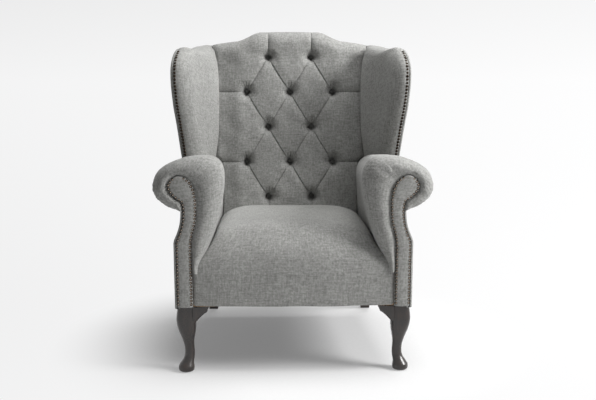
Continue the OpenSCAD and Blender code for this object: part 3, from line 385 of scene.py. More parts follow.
def back_grid():
    """Points of the buttoned face, from its foot to the crest, then back over the top."""
    depth, fold = tufted_field()
    k = np.arange(-FIELD_LOW, FIELD_TOP + FIELD_UP + 1)[:, None]
    i = np.arange(-FIELD_HALF, FIELD_HALF + 1)[None, :]
    top_row = TUFT_LOW + FIELD_TOP * CELL_H
    z = np.where(k < 0, mix(TUFT_LOW, PAD_FOOT, -k / FIELD_LOW), TUFT_LOW + k * CELL_H) + 0.0 * i
    for _ in range(3):
        half = np.interp(z, NECK_ZS, NECK_XS)
        outer = mix(EVEN_HALF * CELL_W, half, (np.abs(i) - EVEN_HALF) / (FIELD_HALF - EVEN_HALF))
        x = np.sign(i) * np.where(np.abs(i) <= EVEN_HALF, np.abs(i) * CELL_W, outer)
        crest = crest_z(x) - SEAM_GAP
        z = np.where(k > FIELD_TOP, mix(top_row, crest, (k - FIELD_TOP) / FIELD_UP), z)
    y = face_y(z) + depth * mix(TOP_SHARE, 1, ease((crest - z) / TOP_SHARE_H))
    edge_r = mix(FOOT_EDGE_R, BACK_EDGE_R, step(z, NECK_ZS[0], CHANGE_H))
    roll = step(np.abs(x), *ROLL_RUN) * mix(ROLL_LEAST, 1, ease((crest_z(x) - z) / ROLL_TOP_H))
    y = y + SIDE_ROLL * roll + rounding(half - np.abs(x), edge_r) + rounding(crest - z, CREST_R)
    y = y + LUMP * ripple(np.stack([x, z], -1), LUMP_W, 4)
    z = z - DIP * depth * ease(1 - (crest - z) / DIP_H)
    face = np.stack([x, y, z], -1) - fold[:, :, None] * FOLD_SHIFT
    return np.concatenate([face, crest_rows(face[-1], depth[-1])])


def crest_rows(edge, depth):
    """Rows from the face's top edge back over the rail and down behind it."""
    rear = CREST_BACK + (edge[:, 2] - SHOULDER_Z) * math.tan(RAKE)
    rows = []
    for share in unit(CREST_ROWS)[1:]:
        y = mix(edge[:, 1], rear - CREST_LIP, share)
        bulge = TOP_BULGE * math.sin(math.pi * share) - CREST_FALL * share ** 3
        lift = DIP * depth * (1 - (1 - share) ** 2)
        z = edge[:, 2] + bulge + lift
        over = np.maximum(0, rail_cover_z(edge[:, 0]) - z)
        z = z + over * step(y, *RAIL_BLEND)
        rows.append(np.column_stack([edge[:, 0], y, z]))
    last = rows[-1][:, 2]
    for turn in np.linspace(0, math.pi / 2, LIP_ROWS)[1:]:
        y = rear - CREST_LIP + CREST_LIP * math.sin(turn)
        rows.append(np.column_stack([edge[:, 0], y, last - CREST_LIP * (1 - math.cos(turn))]))
    return np.stack(rows)


# Covered buttons: a domed head, with the cover gathered behind its rim
BUTTON_R = 0.01
BUTTON_RISE = 0.0058
BUTTON_SINK = 0.0007
BUTTON_LIFT = 0.0006
DOME_POWER = 0.8
RIM_DROP, RIM_SHRINK = 0.0016, 0.12
RIM_PLEATS, RIM_PLEAT = 14, 0.00022


def button_points(place, turns=28, rings=7):
    """Rows of a covered button at a numbered grid place."""
    number, (bx, bz) = place
    x, z = bx * CELL_W, TUFT_LOW + bz * CELL_H
    y = face_y(z) + TUFT_D - BUTTON_SINK
    a = np.linspace(0, 2 * np.pi, turns, endpoint=False)
    rows = []
    for ring in range(rings + 3):
        t = min(ring / rings, 1)
        behind = max(0, ring - rings)
        r = BUTTON_R * math.sin(t * math.pi / 2) * (1 - RIM_SHRINK * behind)
        rise = BUTTON_RISE * max(0, math.cos(t * math.pi / 2)) ** DOME_POWER - RIM_DROP * behind
        r = r + RIM_PLEAT * t ** 3 * np.cos(RIM_PLEATS * a + number)
        dy, dz = turned(-rise - BUTTON_LIFT, r * np.sin(a), -PAD_RAKE)
        rows.append(np.column_stack([x + r * np.cos(a), y + dy, z + dz]))
    return np.stack(rows)


def make_back(cloth):
    """The buttoned back and its covered buttons."""
    cover("buttoned_back", back_grid(), cloth, ["back_pad"])
    for place in enumerate(BUTTONS):
        button = grid_skin(f"button_{place[0] + 1}", button_points(place), cloth,
                           closed=True, flip=True)
        if place[0] == 0:
            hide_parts("back_buttons")


# Arm fronts. A place on the nail line is a share of the half body width, measured inward, and
# a share of the height from the frame to the arm's top.
OUTER_OGEE = [
    (0.046, 0.0), (0.046, 0.022), (0.044, 0.38), (0.047, 0.44), (0.073, 0.492),
    (0.096, 0.553), (0.106, 0.627), (0.101, 0.68), (0.089, 0.714)]
SCROLL = [
    (0.051, 0.73), (0.014, 0.755), (-0.013, 0.785), (-0.016, 0.815), (0.006, 0.843),
    (0.034, 0.859), (0.068, 0.863), (0.111, 0.855), (0.15, 0.83), (0.178, 0.782)]
INNER_OGEE = [
    (0.193, 0.719), (0.192, 0.63), (0.185, 0.564), (0.162, 0.499), (0.149, 0.44),
    (0.146, 0.38), (0.15, 0.022), (0.15, 0.0)]
ARM_RISE = ARM_TOP - RAIL_Z
FACING_EDGE = NAIL_D / 2 + 0.00024
FACING_PUFF, FACING_POWER = 0.0036, 0.8
FACING_RIM = 0.0045

# The arm's outline at its front ridge and at the back, as shares of its width and height
ARM_FRONT = [
    (0.352, 0.219), (0.342, 0.285), (0.245, 0.379), (0.157, 0.477), (0.088, 0.586),
    (0.032, 0.695), (0, 0.804), (0, 0.88), (0.042, 0.939), (0.144, 0.983), (0.32, 1),
    (0.514, 0.991), (0.69, 0.965), (0.838, 0.93), (0.94, 0.887), (0.995, 0.826), (1, 0.773),
    (0.955, 0.723), (0.862, 0.682), (0.755, 0.654), (0.66, 0.645), (0.585, 0.64)]
ARM_REAR = [
    (0.199, 0.219), (0.19, 0.285), (0.181, 0.379), (0.171, 0.477), (0.167, 0.586),
    (0.164, 0.685), (0.168, 0.745), (0.187, 0.797), (0.232, 0.838), (0.305, 0.868),
    (0.392, 0.885), (0.479, 0.888), (0.569, 0.885), (0.653, 0.863), (0.718, 0.834),
    (0.755, 0.797), (0.755, 0.76), (0.731, 0.721), (0.685, 0.686), (0.634, 0.665),
    (0.597, 0.651), (0.545, 0.645)]
ARM_N = 148
EDGE_N = 240
SMOOTH = 15
ARM_ROUND = 0.055
ARM_SWELL = 0.0095
NAIL_SINK = 0.0055
ROUND_ROWS = 30
BODY_ROWS = 44
GATHERED = 6
ARM_LUMP, ARM_LUMP_W = 0.0022, 0.05
ARM_DENT, ARM_DENT_W, ARM_DENT_L = 0.0016, 0.16, 0.9

# The closed rear end, which stops at the post and, outside it, covers the arm rail's end
POST_GAP = 0.008
END_Y = 0.2868
END_BLEND = (POST_OUT + 0.0008, 0.006)
END_STEP = 0.0012
END_MIDDLE = (0.045, 0)
END_SHARES = (0.03, 0.12, 0.3, 0.5, 0.75, 0.98)


def nail_places(shares):
    """Places on the arm front, across and up."""
    return [(BODY_HALF * (1 - s), RAIL_Z + ARM_RISE * t) for s, t in shares]


def facing_line(count=EDGE_N):
    """Edge of the arm's front panel, from outer foot over the scroll to inner foot."""
    line = spline(nail_places(OUTER_OGEE + SCROLL + INNER_OGEE), 600)
    line = even(line, count)
    edge = line + FACING_EDGE * outward(line)
    edge[:, 1] = np.maximum(edge[:, 1], RAIL_Z)
    return edge


def arm_outline(shares):
    """The arm's outline, from its inner foot over the scroll to the outside panel."""
    width = ARM_OUT - ARM_IN
    return spline([(ARM_IN + width * s, RAIL_Z + ARM_RISE * t) for s, t in shares], ARM_N)


def arm_near():
    """Where on the front panel's edge each place of the arm's outline starts."""
    edge = facing_line()[::-1]
    full = arm_outline(ARM_FRONT)
    nearest = np.array([np.argmin(norm(edge - p, axis=1)) for p in full])
    nearest = np.maximum.accumulate(nearest).astype(float)
    window = np.ones(SMOOTH) / SMOOTH
    smooth = np.convolve(np.pad(nearest, SMOOTH // 2, mode="edge"), window, mode="valid")
    return pick(edge, np.arange(len(edge)), smooth)


def arm_gathers(line, turn):
    """Small uneven pleats where the cover is drawn in round the scroll."""
    count, pitch, depth = 90, 0.0135, 0.0026
    widths, sizes = (0.75, 1.3), (0.4, 1.6)
    start, tail = (0.22, 0.1), 0.05
    ridge, power = 2.2, 0.6
    run = along(line)
    rng = np.random.default_rng(11)
    bends = np.cumsum(rng.uniform(*widths, count)) * pitch
    phase = np.interp(run, bends, np.arange(count))
    size = np.interp(run, bends, rng.uniform(*sizes, count))
    bent = step(run, *start) * step(run, run[-1], -tail)
    fade = max(0, math.cos(turn * 1.05)) ** 0.7
    return depth * fade * size * bent * (1 - ridge * np.abs(np.sin(np.pi * phase)) ** power)


def arm_rear(line):
    """Where the arm's cover ends behind, for places across and up."""
    inside = post_y(line[:, 1]) - POST_D / 2 - POST_GAP
    return mix(inside, END_Y, step(line[:, 0], *END_BLEND))


def arm_grid():
    """Points of the right arm's cover, from the edge of its front panel to the back."""
    front, rear, near = arm_outline(ARM_FRONT), arm_outline(ARM_REAR), arm_near()
    rows = []
    sunk = math.acos(1 - ARM_SWELL / ARM_ROUND)
    ridge = FRONT + NAIL_SINK - ARM_SWELL
    lumps = ARM_LUMP * ripple(np.column_stack([front, 0 * front[:, 0]]), ARM_LUMP_W, 17)
    for turn in np.linspace(-sunk, math.pi / 2, ROUND_ROWS):
        share = (math.sin(turn) + math.sin(sunk)) / (1 + math.sin(sunk))
        line = mix(near, front, share)
        pleats = arm_gathers(line, turn) * min(1, GATHERED * share)
        line = line - pleats[:, None] * outward(line)
        y = ridge + ARM_ROUND * (1 - math.cos(turn)) + lumps * math.sin(math.pi * share)
        rows.append(upright(line, y))
    start, end = ridge + ARM_ROUND, arm_rear(rear)
    for body in unit(BODY_ROWS)[1:]:
        line = mix(front, rear, body)
        places = np.column_stack([line, np.full(len(line), ARM_DENT_L * body)])
        dent = ARM_DENT * ripple(places, ARM_DENT_W, 8)
        line = line - dent[:, None] * outward(line) * math.sin(math.pi * body)
        rows.append(upright(line, mix(start, end, body)))
    middle = rear.mean(axis=0) + END_MIDDLE
    for tuck in END_SHARES:
        line = mix(rear, middle, tuck)
        rows.append(upright(line, arm_rear(line) + END_STEP))
    return np.stack(rows)


def facing_grid(rungs=90, columns=13):
    """Points of the right arm's front panel, on rungs from its outer to its inner line."""
    edge = facing_line(400)
    top = int(np.argmax(edge[:, 1]))
    outer, inner = even(edge[:top + 1], rungs), even(edge[top:][::-1], rungs)
    t = unit(columns)
    rows = []
    for a, b in zip(outer, inner):
        flat = mix(a, b, t[:, None])
        rim = np.minimum(t, 1 - t) * norm(b - a)
        puff = FACING_PUFF * (4 * t * (1 - t)) ** FACING_POWER
        puff = puff - NAIL_SINK * np.clip(1 - rim / FACING_RIM, 0, 1)
        rows.append(upright(flat, FRONT - puff))
    return np.stack(rows)


def make_arms(cloth):
    """The stuffed scroll arms and the panels on their fronts."""
    for side, word in SIDES:
        cover(f"arm_{word}", arm_grid(), cloth, [f"arm_pad_{word}"], side)
        cover(f"arm_front_{word}", facing_grid(), cloth, [f"arm_facing_{word}"], side)


# Sprung seat: one tight cover over the crown and round the nose down to the frame. Its profile is
# a distance behind the arm fronts and a height.
SEAT_PROFILE = [
    (0.012, 0.2095), (0.003, 0.2105), (0.0, 0.216), (-0.0015, 0.245), (-0.002, 0.28),
    (-0.001, 0.315), (0.003, 0.345), (0.0105, 0.3715), (0.023, 0.395), (0.043, 0.4175),
    (0.069, 0.437), (0.101, 0.4495), (0.14, 0.4548), (0.2, 0.456), (0.3, 0.456),
    (0.4, 0.4545), (0.48, 0.451), (0.525, 0.446), (0.548, 0.44)]
SEAT_ROWS = 132
SEAT_COLS = 141
CROWDING = 1.25
SEAT_TUCK = 0.0015
SEAT_LOWEST = 0.2085

# How far the sides drop at the border, on the nose and at the back, and how late they do so
BORDER_DROP, NOSE_DROP, REAR_DROP = 0.005, 0.028, 0.04
FRONT_POWER, REAR_POWER = 2.7, 6.0
NOSE_RISE, REAR_RUN = (0.3, 0.14), (0.12, 0.3)
MEET_SHARE = 0.8
EDGE_R, EDGE_DROP, EDGE_POWER = 0.014, 0.01, 2.2
SWELL, SWELL_W = 0.0016, 0.19
ARM_TOP_ROW = 34


def arm_inside():
    """Places of the right arm's inner surface as rows of (y, z, x), from its foot up."""
    grid = arm_grid()
    top = int(np.argmax(grid[ARM_TOP_ROW, :, 2]))
    return grid[:, :top // 2, :][:, :, [1, 2, 0]]


def seat_half(y, z, inside):
    """Half the clear width between the arms at places given by y and z."""
    halves = np.empty(len(y))
    for n, (py, pz) in enumerate(zip(y, z)):
        ys = [np.interp(pz, row[:, 1], row[:, 0]) for row in inside]
        xs = [np.interp(pz, row[:, 1], row[:, 2]) for row in inside]
        halves[n] = np.interp(py, ys, xs)
    return halves


def seat_grid():
    """Points of the seat's cover from under the front rail to below the back."""
    line = even(spline(SEAT_PROFILE, 400), SEAT_ROWS)
    y, z = FRONT + line[:, 0], line[:, 1]
    normal = -outward(np.column_stack([y, z]))
    front = step(z, *NOSE_RISE)
    rear = step(y - FRONT, *REAR_RUN)
    drop = mix(mix(BORDER_DROP, NOSE_DROP, front), REAR_DROP, rear)
    power = mix(FRONT_POWER, REAR_POWER, rear)[:, None]
    half = seat_half(y, z - MEET_SHARE * drop, arm_inside()) + SEAT_TUCK
    u = crowded(SEAT_COLS, CROWDING)
    x = half[:, None] * u
    fall = drop[:, None] * np.abs(u) ** power
    edge = np.clip(half[:, None] - np.abs(x), 0, EDGE_R)
    fall = fall + EDGE_DROP * (1 - edge / EDGE_R) ** EDGE_POWER
    swell = SWELL * ripple(np.stack([x, y[:, None] + 0 * x], -1), SWELL_W, 21)
    fall = fall + swell * np.cos(np.pi * u / 2)
    points = np.stack([x, y[:, None] - normal[:, :1] * fall, z[:, None] - normal[:, 1:] * fall], -1)
    points[:, :, 2] = np.maximum(points[:, :, 2], SEAT_LOWEST)
    return points


# Wings. In a wing's own plane, reach runs forward from the post and rise runs up from the sweep;
# depth runs inward from the outside panel's face.
SPLAY = math.radians(11.5)
REACH = 0.311
WING_H = 1.0
WING_TOP = WING_H - SWEEP_Z
WING_FOOT = ARM_TOP - 0.03
WING_LEAN = math.atan(math.sin(SPLAY) * math.tan(RAKE))
REAR_LEAN = math.atan(math.cos(SPLAY) * math.tan(RAKE))
WING_EDGE = [
    (0, 0.746), (0.233, 0.841), (0.35, 0.895), (0.464, 0.949), (0.633, 0.995),
    (0.74, 1), (0.83, 0.98), (0.91, 0.915), (0.965, 0.83), (1, 0.71)]
WING_OVER = [(0.5, -0.006), (0.25, 0.006), (0, 0.018)]
CORNER_BACK, CORNER_RISE = 0.029, 1.022
FOOT_BACK = 0.018
LINE_SHARE = 1.018

# The inside cover: its section behind the seam as distance and depth, and how its rungs run
WING_PROFILE = [
    (0.0045, 0.01), (0.0012, 0.0112), (0.0, 0.0132), (-0.0004, 0.018), (-0.0002, 0.0235),
    (0.0012, 0.029), (0.0052, 0.0365), (0.0125, 0.044), (0.024, 0.0515), (0.04, 0.0575),
    (0.06, 0.061), (0.09, 0.063)]
WING_ROWS = 120
WING_COLS = 90
NEAR_N = 34
RUNG_FRONTS = (0, 0.62, 0.78, 1)
IN_LOW, LINE_LOW = 0.585, 0.56
AHEAD, LINE_TOP = 0.04, 0.985
IN_RUNGS = (0, 0.8, 0.95, 1)
NEAR_ROOM = 0.14
WING_CROWN, WING_FALL = 0.003, 0.004
RIPPLE, RIPPLE_W, RIPPLE_RUN = 0.0013, 0.13, 0.06

# Over the top rail the cover lifts and stays level for longer before it turns down inside
RAIL_LIFT = 0.003
RAIL_REACH, RAIL_SHARE = (0.25, -0.03), (0.4, 0.1)
RAIL_LATE, LATE_IN, LATE_OUT = 0.0045, (0.018, 0.012), (0.06, -0.012)

# Stuffing that thickens the wing where it meets the back, and the crease beside the back
FILL_ZS = (0.6, 0.65, 0.7, 0.75, 0.85, 0.9, 0.95, 1.0, 1.03)
FILLS = (0.018, 0.024, 0.029, 0.032, 0.033, 0.031, 0.026, 0.019, 0.012)
FILL_SPAN = 0.2
FILL_FROM, FILL_BLEND = 0.018, 0.04
CREASE_R = 0.016
CREASE = 0.9
BESIDE_BACK = 0.2845

# Outside panels of the wings, arms and back
PANEL_ROWS, PANEL_COLS, PANEL_POWER = 100, 34, 1.3
PANEL_LOW = 0.6
PANEL_AHEAD = -0.0305
PANEL_RUNGS = (0, 0.82, 0.96, 1)
PANEL_EDGE = [(0.0035, 0.0108), (0.0012, 0.01), (0.0, 0.008)]
SINK, SINK_W = 0.0055, 0.004
PUFF_POWER = 0.7
WING_PUFF, ARM_PUFF, BACK_PUFF = 0.0022, 0.0025, 0.002
SKIN_ROWS = 80
ARM_BEND, ARM_HEM, ARM_HEM_IN = 0.0065, 0.005, 0.0005
TO_REAR = 0.03
SHELL = POST_D / 2 + 0.0093
BACK_COLS, BACK_ROWS, BACK_POWER = 81, 90, 1.2
CORNER_Z, CORNER_W = 1.0175, 0.03
ROUND_R, ROUND_DROP = 0.007, 0.006
BACK_WRAP = [(0.3235, 0.0015), (0.3205, 0.0025), (0.3178, 0.0045), (0.3172, 0.014),
             (0.3172, 0.041)]


def wing_place(depth, place):
    """Points of the right wing in the chair's frame, from places in its plane."""
    x, z = turned(-depth, place[:, 1], -WING_LEAN)
    x, y = turned(x, -place[:, 0], SPLAY)
    return np.stack([x + REAR_HALF, y + POST_MID_Y, z + SWEEP_Z], -1)


def wing_outline(low_z, count):
    """The wing's front and top edge in its plane, from the arm up to the post."""
    edge = [(REACH * b, WING_FOOT + (WING_H - WING_FOOT) * a - SWEEP_Z) for a, b in WING_EDGE]
    top = [(REACH * a, WING_TOP * (1 + b)) for a, b in WING_OVER]
    corner = (-WING_TOP * math.tan(REAR_LEAN) - CORNER_BACK, WING_TOP * CORNER_RISE)
    foot = (edge[0][0] - FOOT_BACK, low_z - SWEEP_Z)
    return even(spline([foot] + edge + top + [corner], 500), count)


def wing_rungs(front, low_z, ahead, top_share, rungs, count=300):
    """For each place on the outline, a place on a line beside the post."""
    rise = np.linspace(low_z - SWEEP_Z, WING_TOP * LINE_SHARE * top_share, count)
    line = even(np.column_stack([ahead - rise * math.tan(REAR_LEAN), rise]), count)
    share = along(front) / along(front)[-1]
    at = np.interp(share, RUNG_FRONTS, rungs)
    return pick(line, unit(count), at)


def wing_grid():
    """Points of the right wing's inside cover, from the front seam to behind the back."""
    front = wing_outline(IN_LOW, WING_ROWS)
    back = wing_rungs(front, LINE_LOW, AHEAD, LINE_TOP, IN_RUNGS)
    share = along(front) / along(front)[-1]
    over_rail = step(front[:, 0], *RAIL_REACH) * step(share, *RAIL_SHARE)
    front = front + RAIL_LIFT * over_rail[:, None] * outward(front)
    profile = even(spline(WING_PROFILE, 200), NEAR_N)
    away, deep = profile.T
    late = step(deep, *LATE_IN) * step(deep, *LATE_OUT)
    rows = []
    for n in range(WING_ROWS):
        way = back[n] - front[n]
        size = norm(way)
        start = away[-1] * min(1, size / NEAR_ROOM)
        far = np.linspace(start, size, WING_COLS - NEAR_N + 1)[1:]
        near = away * min(1, size / NEAR_ROOM) - RAIL_LATE * over_rail[n] * late
        d = np.concatenate([near, far])
        t = (far - far[0]) / (size - far[0])
        crown = deep[-1] + WING_CROWN * np.sin(np.pi * t) - WING_FALL * t ** 3
        w = np.concatenate([deep, crown])
        place = front[n] + d[:, None] * (way / size)
        at = wing_place(w, place)
        ahead = face_y(at[:, 2]) + SIDE_ROLL - at[:, 1]
        fill = np.interp(at[:, 2], FILL_ZS, FILLS) * ease(1 - ahead / FILL_SPAN)
        fill = fill * step(w, FILL_FROM, FILL_BLEND)
        pressed = w + fill - rounding(ahead, CREASE_R) - CREASE * np.maximum(0, -ahead)
        side = wing_place(0 * d, place)[:, 0]
        beside = np.maximum((side - BESIDE_BACK) / math.cos(SPLAY), FILL_FROM)
        w = np.where(w < FILL_FROM, w, np.maximum(pressed, np.minimum(w, beside)))
        uneven = ripple(np.column_stack([place, np.full(len(place), 0.1)]), RIPPLE_W, 31)
        w = w + RIPPLE * uneven * ease(d / RIPPLE_RUN)
        rows.append(wing_place(w, place))
    return np.stack(rows)


def outside_wing_grid():
    """Points of the right wing's outside panel, from its edge to the post."""
    front = wing_outline(PANEL_LOW, PANEL_ROWS)
    back = wing_rungs(front, PANEL_LOW, PANEL_AHEAD, 1.0, PANEL_RUNGS)
    run = unit(PANEL_COLS) ** PANEL_POWER
    t = np.concatenate([[0, 0, 0], run])
    hem, sunk = np.transpose(PANEL_EDGE)
    d = np.concatenate([hem, np.zeros(PANEL_COLS)])
    rows = []
    for n in range(len(front)):
        way = back[n] - front[n]
        size = norm(way)
        w = np.concatenate([sunk, SINK * np.exp(-run * size / SINK_W)])
        place = front[n] + t[:, None] * way + d[:, None] * way / size
        puff = WING_PUFF * np.sin(np.pi * t) ** PUFF_POWER
        rows.append(wing_place(w - puff, place))
    return np.stack(rows)


def outside_arm_grid():
    """Points of the right arm's outside panel, from its front edge to the back post."""
    lowest = spline(nail_places(OUTER_OGEE[:8]), 200)
    skin = even(lowest + FACING_EDGE * outward(lowest), SKIN_ROWS)
    skin[0, 1] = RAIL_Z
    turn = np.linspace(0, math.pi / 2, 9)
    t = unit(40)[1:]
    fore = FRONT + SEAM_GAP
    rows = []
    for x0, z in skin:
        corner = [x0 + ARM_BEND * np.sin(turn), fore + ARM_BEND * (1 - np.cos(turn))]
        side = [mix(x0 + ARM_BEND, REAR_HALF, t), mix(fore + ARM_BEND, post_y(z) + TO_REAR, t)]
        side[0] += ARM_PUFF * np.sin(np.pi * t) ** PUFF_POWER
        path = np.vstack([[x0 - ARM_HEM_IN, FRONT + ARM_HEM], np.transpose(corner),
                          np.transpose(side)])
        rows.append(np.column_stack([path, np.full(len(path), z)]))
    return np.stack(rows)


def outside_back_grid():
    """Points of the outside back: a flat cover that wraps the posts' outer sides."""
    wrap = np.array(BACK_WRAP)
    u = crowded(BACK_COLS, BACK_POWER)
    x = REAR_HALF * u
    top = np.maximum(crest_z(x), rail_cover_z(x)) - SEAM_GAP
    top = mix(top, CORNER_Z, step(np.abs(x), BACK_W / 2, CORNER_W))
    edge = np.clip(1 - (REAR_HALF - np.abs(x)) / ROUND_R, 0, 1) ** 2
    rows = []
    for share in unit(BACK_ROWS):
        z = mix(RAIL_Z, top, share)
        above = np.clip(1 - (top - z) / ROUND_R, 0, 1) ** 2
        puff = BACK_PUFF * np.cos(np.pi * u / 2) * math.sin(math.pi * share)
        y = post_y(z) + SHELL + puff - ROUND_DROP * np.maximum(edge, above)
        right = np.column_stack([wrap[:, 0], y[-1] - wrap[:, 1], np.full(len(wrap), z[-1])])
        left = (right * (-1, 1, 1))[::-1]
        rows.append(np.vstack([left, np.column_stack([x, y, z]), right]))
    return np.stack(rows)


def make_wings(cloth):
    """The stuffed wings and the plain outside panels of wings, arms and back."""
    for side, word in SIDES:
        cover(f"wing_{word}", wing_grid(), cloth, [f"wing_pad_{word}"], side, True)
        cover(f"wing_outside_{word}", outside_wing_grid(), cloth, [f"outside_wing_{word}"],
              side)
        cover(f"arm_outside_{word}", outside_arm_grid(), cloth, [f"outside_arm_{word}"],
              side, True)
    cover("back_outside", outside_back_grid(), cloth, ["outside_back"], flip=True)


# Front legs. Each slice: a share of the height, how far its outer side stands in from the body's
# corner, its width, and how square it is.
LEG_SLICES = [
    (0.0, 0.014, 0.041, 2.0), (0.012, 0.0112, 0.0466, 2.0), (0.03, 0.01, 0.0486, 2.0),
    (0.055, 0.0098, 0.049, 2.0), (0.08, 0.0106, 0.0476, 2.0), (0.115, 0.015, 0.042, 2.0),
    (0.15, 0.0205, 0.0368, 2.1), (0.19, 0.0255, 0.033, 2.1), (0.24, 0.0285, 0.0308, 2.1),
    (0.3, 0.0292, 0.03, 2.2), (0.37, 0.028, 0.0304, 2.2), (0.45, 0.024, 0.0346, 2.3),
    (0.53, 0.0185, 0.043, 2.5), (0.61, 0.0124, 0.052, 2.7), (0.69, 0.0082, 0.0576, 3.0),
    (0.78, 0.006, 0.06, 3.4), (0.87, 0.0072, 0.06, 3.8), (0.95, 0.0096, 0.059, 4.2),
    (1.0, 0.011, 0.058, 4.4)]
LEG_SIDES = 40
LEG_ROWS = 90
LEG_GAP = 0.0003
FOOT_Z = 0.002
FOOT_CAP = (0.97, 0.6, 0.02)
TOP_CAP = 0.02

# Knee brackets: their run beside the leg, the curve of their lower edge and their rolled face
KNEE_L, KNEE_H, KNEE_T = 0.04872, 0.062, 0.03
KNEE_X = BODY_HALF - 0.058
KNEE_GAP = 0.0004
SECTIONS, FACE_N, UNDER_N = 26, 12, 5
LEAST, DROP_POWER = 0.3, 1.5
TIP_SHRINK, TIP_RUN = 0.62, (0.86, 0.14)
INSET, INSET_END, INSET_RUN = 0.0105, 0.015, 0.8
BULGE, BULGE_START, BULGE_RUN = 0.0036, 0.25, 0.9
TURN_IN, TURN_RUN = 0.007, (0.72, 0.28)
ARCH = 0.03
END_CAP = 0.01


def drawn_in(row, share):
    """A row of points drawn in to a share of its size."""
    middle = row.mean(axis=0)
    return middle + (row - middle) * share


def leg_grid():
    """Rings of the right front leg from the foot to the rail, with closed ends."""
    rings = []
    height = RAIL_Z - LEG_GAP - FOOT_Z
    a = np.linspace(0, 2 * np.pi, LEG_SIDES, endpoint=False)
    c, s = np.cos(a), np.sin(a)
    for share, out, width, power in spline(LEG_SLICES, LEG_ROWS):
        inset = out + width / 2
        r = width / 2 * (np.abs(c) ** power + np.abs(s) ** power) ** (-1 / power)
        x, y = BODY_HALF - inset + r * c, FRONT + inset + r * s
        rings.append(np.column_stack([x, y, np.full(LEG_SIDES, FOOT_Z + height * share)]))
    foot, top = rings[0], rings[-1]
    for shrink in FOOT_CAP:
        rings.insert(0, drawn_in(foot, shrink))
    rings.append(drawn_in(top, TOP_CAP))
    return np.stack(rings)


def bracket_grid():
    """Points of a knee bracket with closed ends, by its drop away from the leg."""
    rows = []
    top = RAIL_Z - KNEE_GAP
    for t in unit(SECTIONS):
        x = KNEE_X - KNEE_L * t
        drop = mix(LEAST, 1, (1 - t) ** DROP_POWER) * KNEE_H
        drop = drop * (1 - TIP_SHRINK * step(t, *TIP_RUN))
        front = FRONT + mix(INSET, INSET_END, ease(t / INSET_RUN))
        back = front + KNEE_T
        ring = []
        for v in unit(FACE_N):
            roll = math.sin(math.pi * min(1, BULGE_START + BULGE_RUN * v))
            y = front - BULGE * (1 - t) * roll + TURN_IN * step(v, *TURN_RUN)
            ring.append((x, y, top - drop * v))
        low_y = ring[-1][1]
        for v in unit(UNDER_N)[1:]:
            under = 1 - ARCH * math.sin(math.pi * v)
            ring.append((x, mix(low_y, back, v), top - drop * under))
        ring.append((x, back, top))
        rows.append(ring)
    rows = np.array(rows)
    return np.stack([drawn_in(rows[0], END_CAP), *rows, drawn_in(rows[-1], END_CAP)])


def make_legs(wood):
    """The cabriole front legs and the brackets that carry their curve along the rails."""
    for side, word in SIDES:
        leg = grid_skin(f"leg_{word}", leg_grid(), wood, side, closed=True)
        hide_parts(f"front_leg_{word}")
        front = bracket_grid()
        piece = grid_skin(f"bracket_front_{word}", front, wood, side, closed=True,
                          flip=True)
        if side < 0:
            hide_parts("knee_brackets")
        x, y, z = np.moveaxis(front, -1, 0)
        beside = np.stack([BODY_HALF - (y - FRONT), FRONT + (BODY_HALF - x), z], -1)
        grid_skin(f"bracket_side_{word}", beside, wood, side, closed=True)


# Materials. A colour may be a plain number, for grey.
def rgb(colour):
    """A colour, or a grey from its level."""
    return colour if isinstance(colour, tuple) else (colour,) * 3


def graph(name, roughness, metallic=0.0):
    """A new material, its node tree and its shader."""
    material = bpy.data.materials.new(name)
    material.use_nodes = True
    tree = material.node_tree
    shader = tree.nodes["Principled BSDF"]
    shader.inputs["Roughness"].default_value = roughness
    shader.inputs["Metallic"].default_value = metallic
    return material, tree, shader


def plug(tree, value, place):
    """Feeds an input from another node's output, or sets it to a value."""
    if isinstance(value, bpy.types.NodeSocket):
        tree.links.new(value, place)
    else:
        place.default_value = value


def add(tree, kind, settings=None, **inputs):
    """A node with its settings and inputs, which are named, or numbered as in i0."""
    node = tree.nodes.new(kind)
    for key, value in (settings or {}).items():
        setattr(node, key, value)
    for key, value in inputs.items():
        plug(tree, value, node.inputs[int(key[1:]) if key[1:].isdigit() else key])
    return node


def scaled(tree, space="Object", scale=(1, 1, 1)):
    """Texture coordinates times a scale for each axis."""
    source = add(tree, "ShaderNodeTexCoord").outputs[space]
    return add(tree, "ShaderNodeMapping", Vector=source, Scale=scale).outputs["Vector"]


def noise(tree, vector, scale=1.0, detail=2.0, rough=0.55):
    """Factor of a noise texture."""
    return add(tree, "ShaderNodeTexNoise", Vector=vector, Scale=scale, Detail=detail,
               Roughness=rough).outputs[0]


def span(tree, value, start, end, low, high, settings=None):
    """A value's range mapped to another."""
    return add(tree, "ShaderNodeMapRange", settings, Value=value, i1=start, i2=end, i3=low,
               i4=high).outputs[0]


def ramp(tree, factor, *stops):
    """Colours along a factor: pairs of place and colour."""
    node = add(tree, "ShaderNodeValToRGB", Fac=factor)
    elements = node.color_ramp.elements
    while len(elements) < len(stops):
        elements.new(0.5)
    for element, (place, colour) in zip(elements, stops):
        element.position = place
        element.color = (*rgb(colour), 1)
    return node.outputs["Color"]


def blend(tree, factor, a, b, mode="MIX"):
    """Two colours mixed by a factor."""
    node = add(tree, "ShaderNodeMix", {"data_type": "RGBA", "blend_type": mode}, i0=factor)
    for place, value in ((6, a), (7, b)):
        plug(tree, (*value, 1) if isinstance(value, tuple) else value, node.inputs[place])
    return node.outputs[2]


def calc(tree, operation, a, b=0.0, c=0.0):
    """A sum, product or other result of values."""
    return add(tree, "ShaderNodeMath", {"operation": operation}, i0=a, i1=b, i2=c).outputs[0]


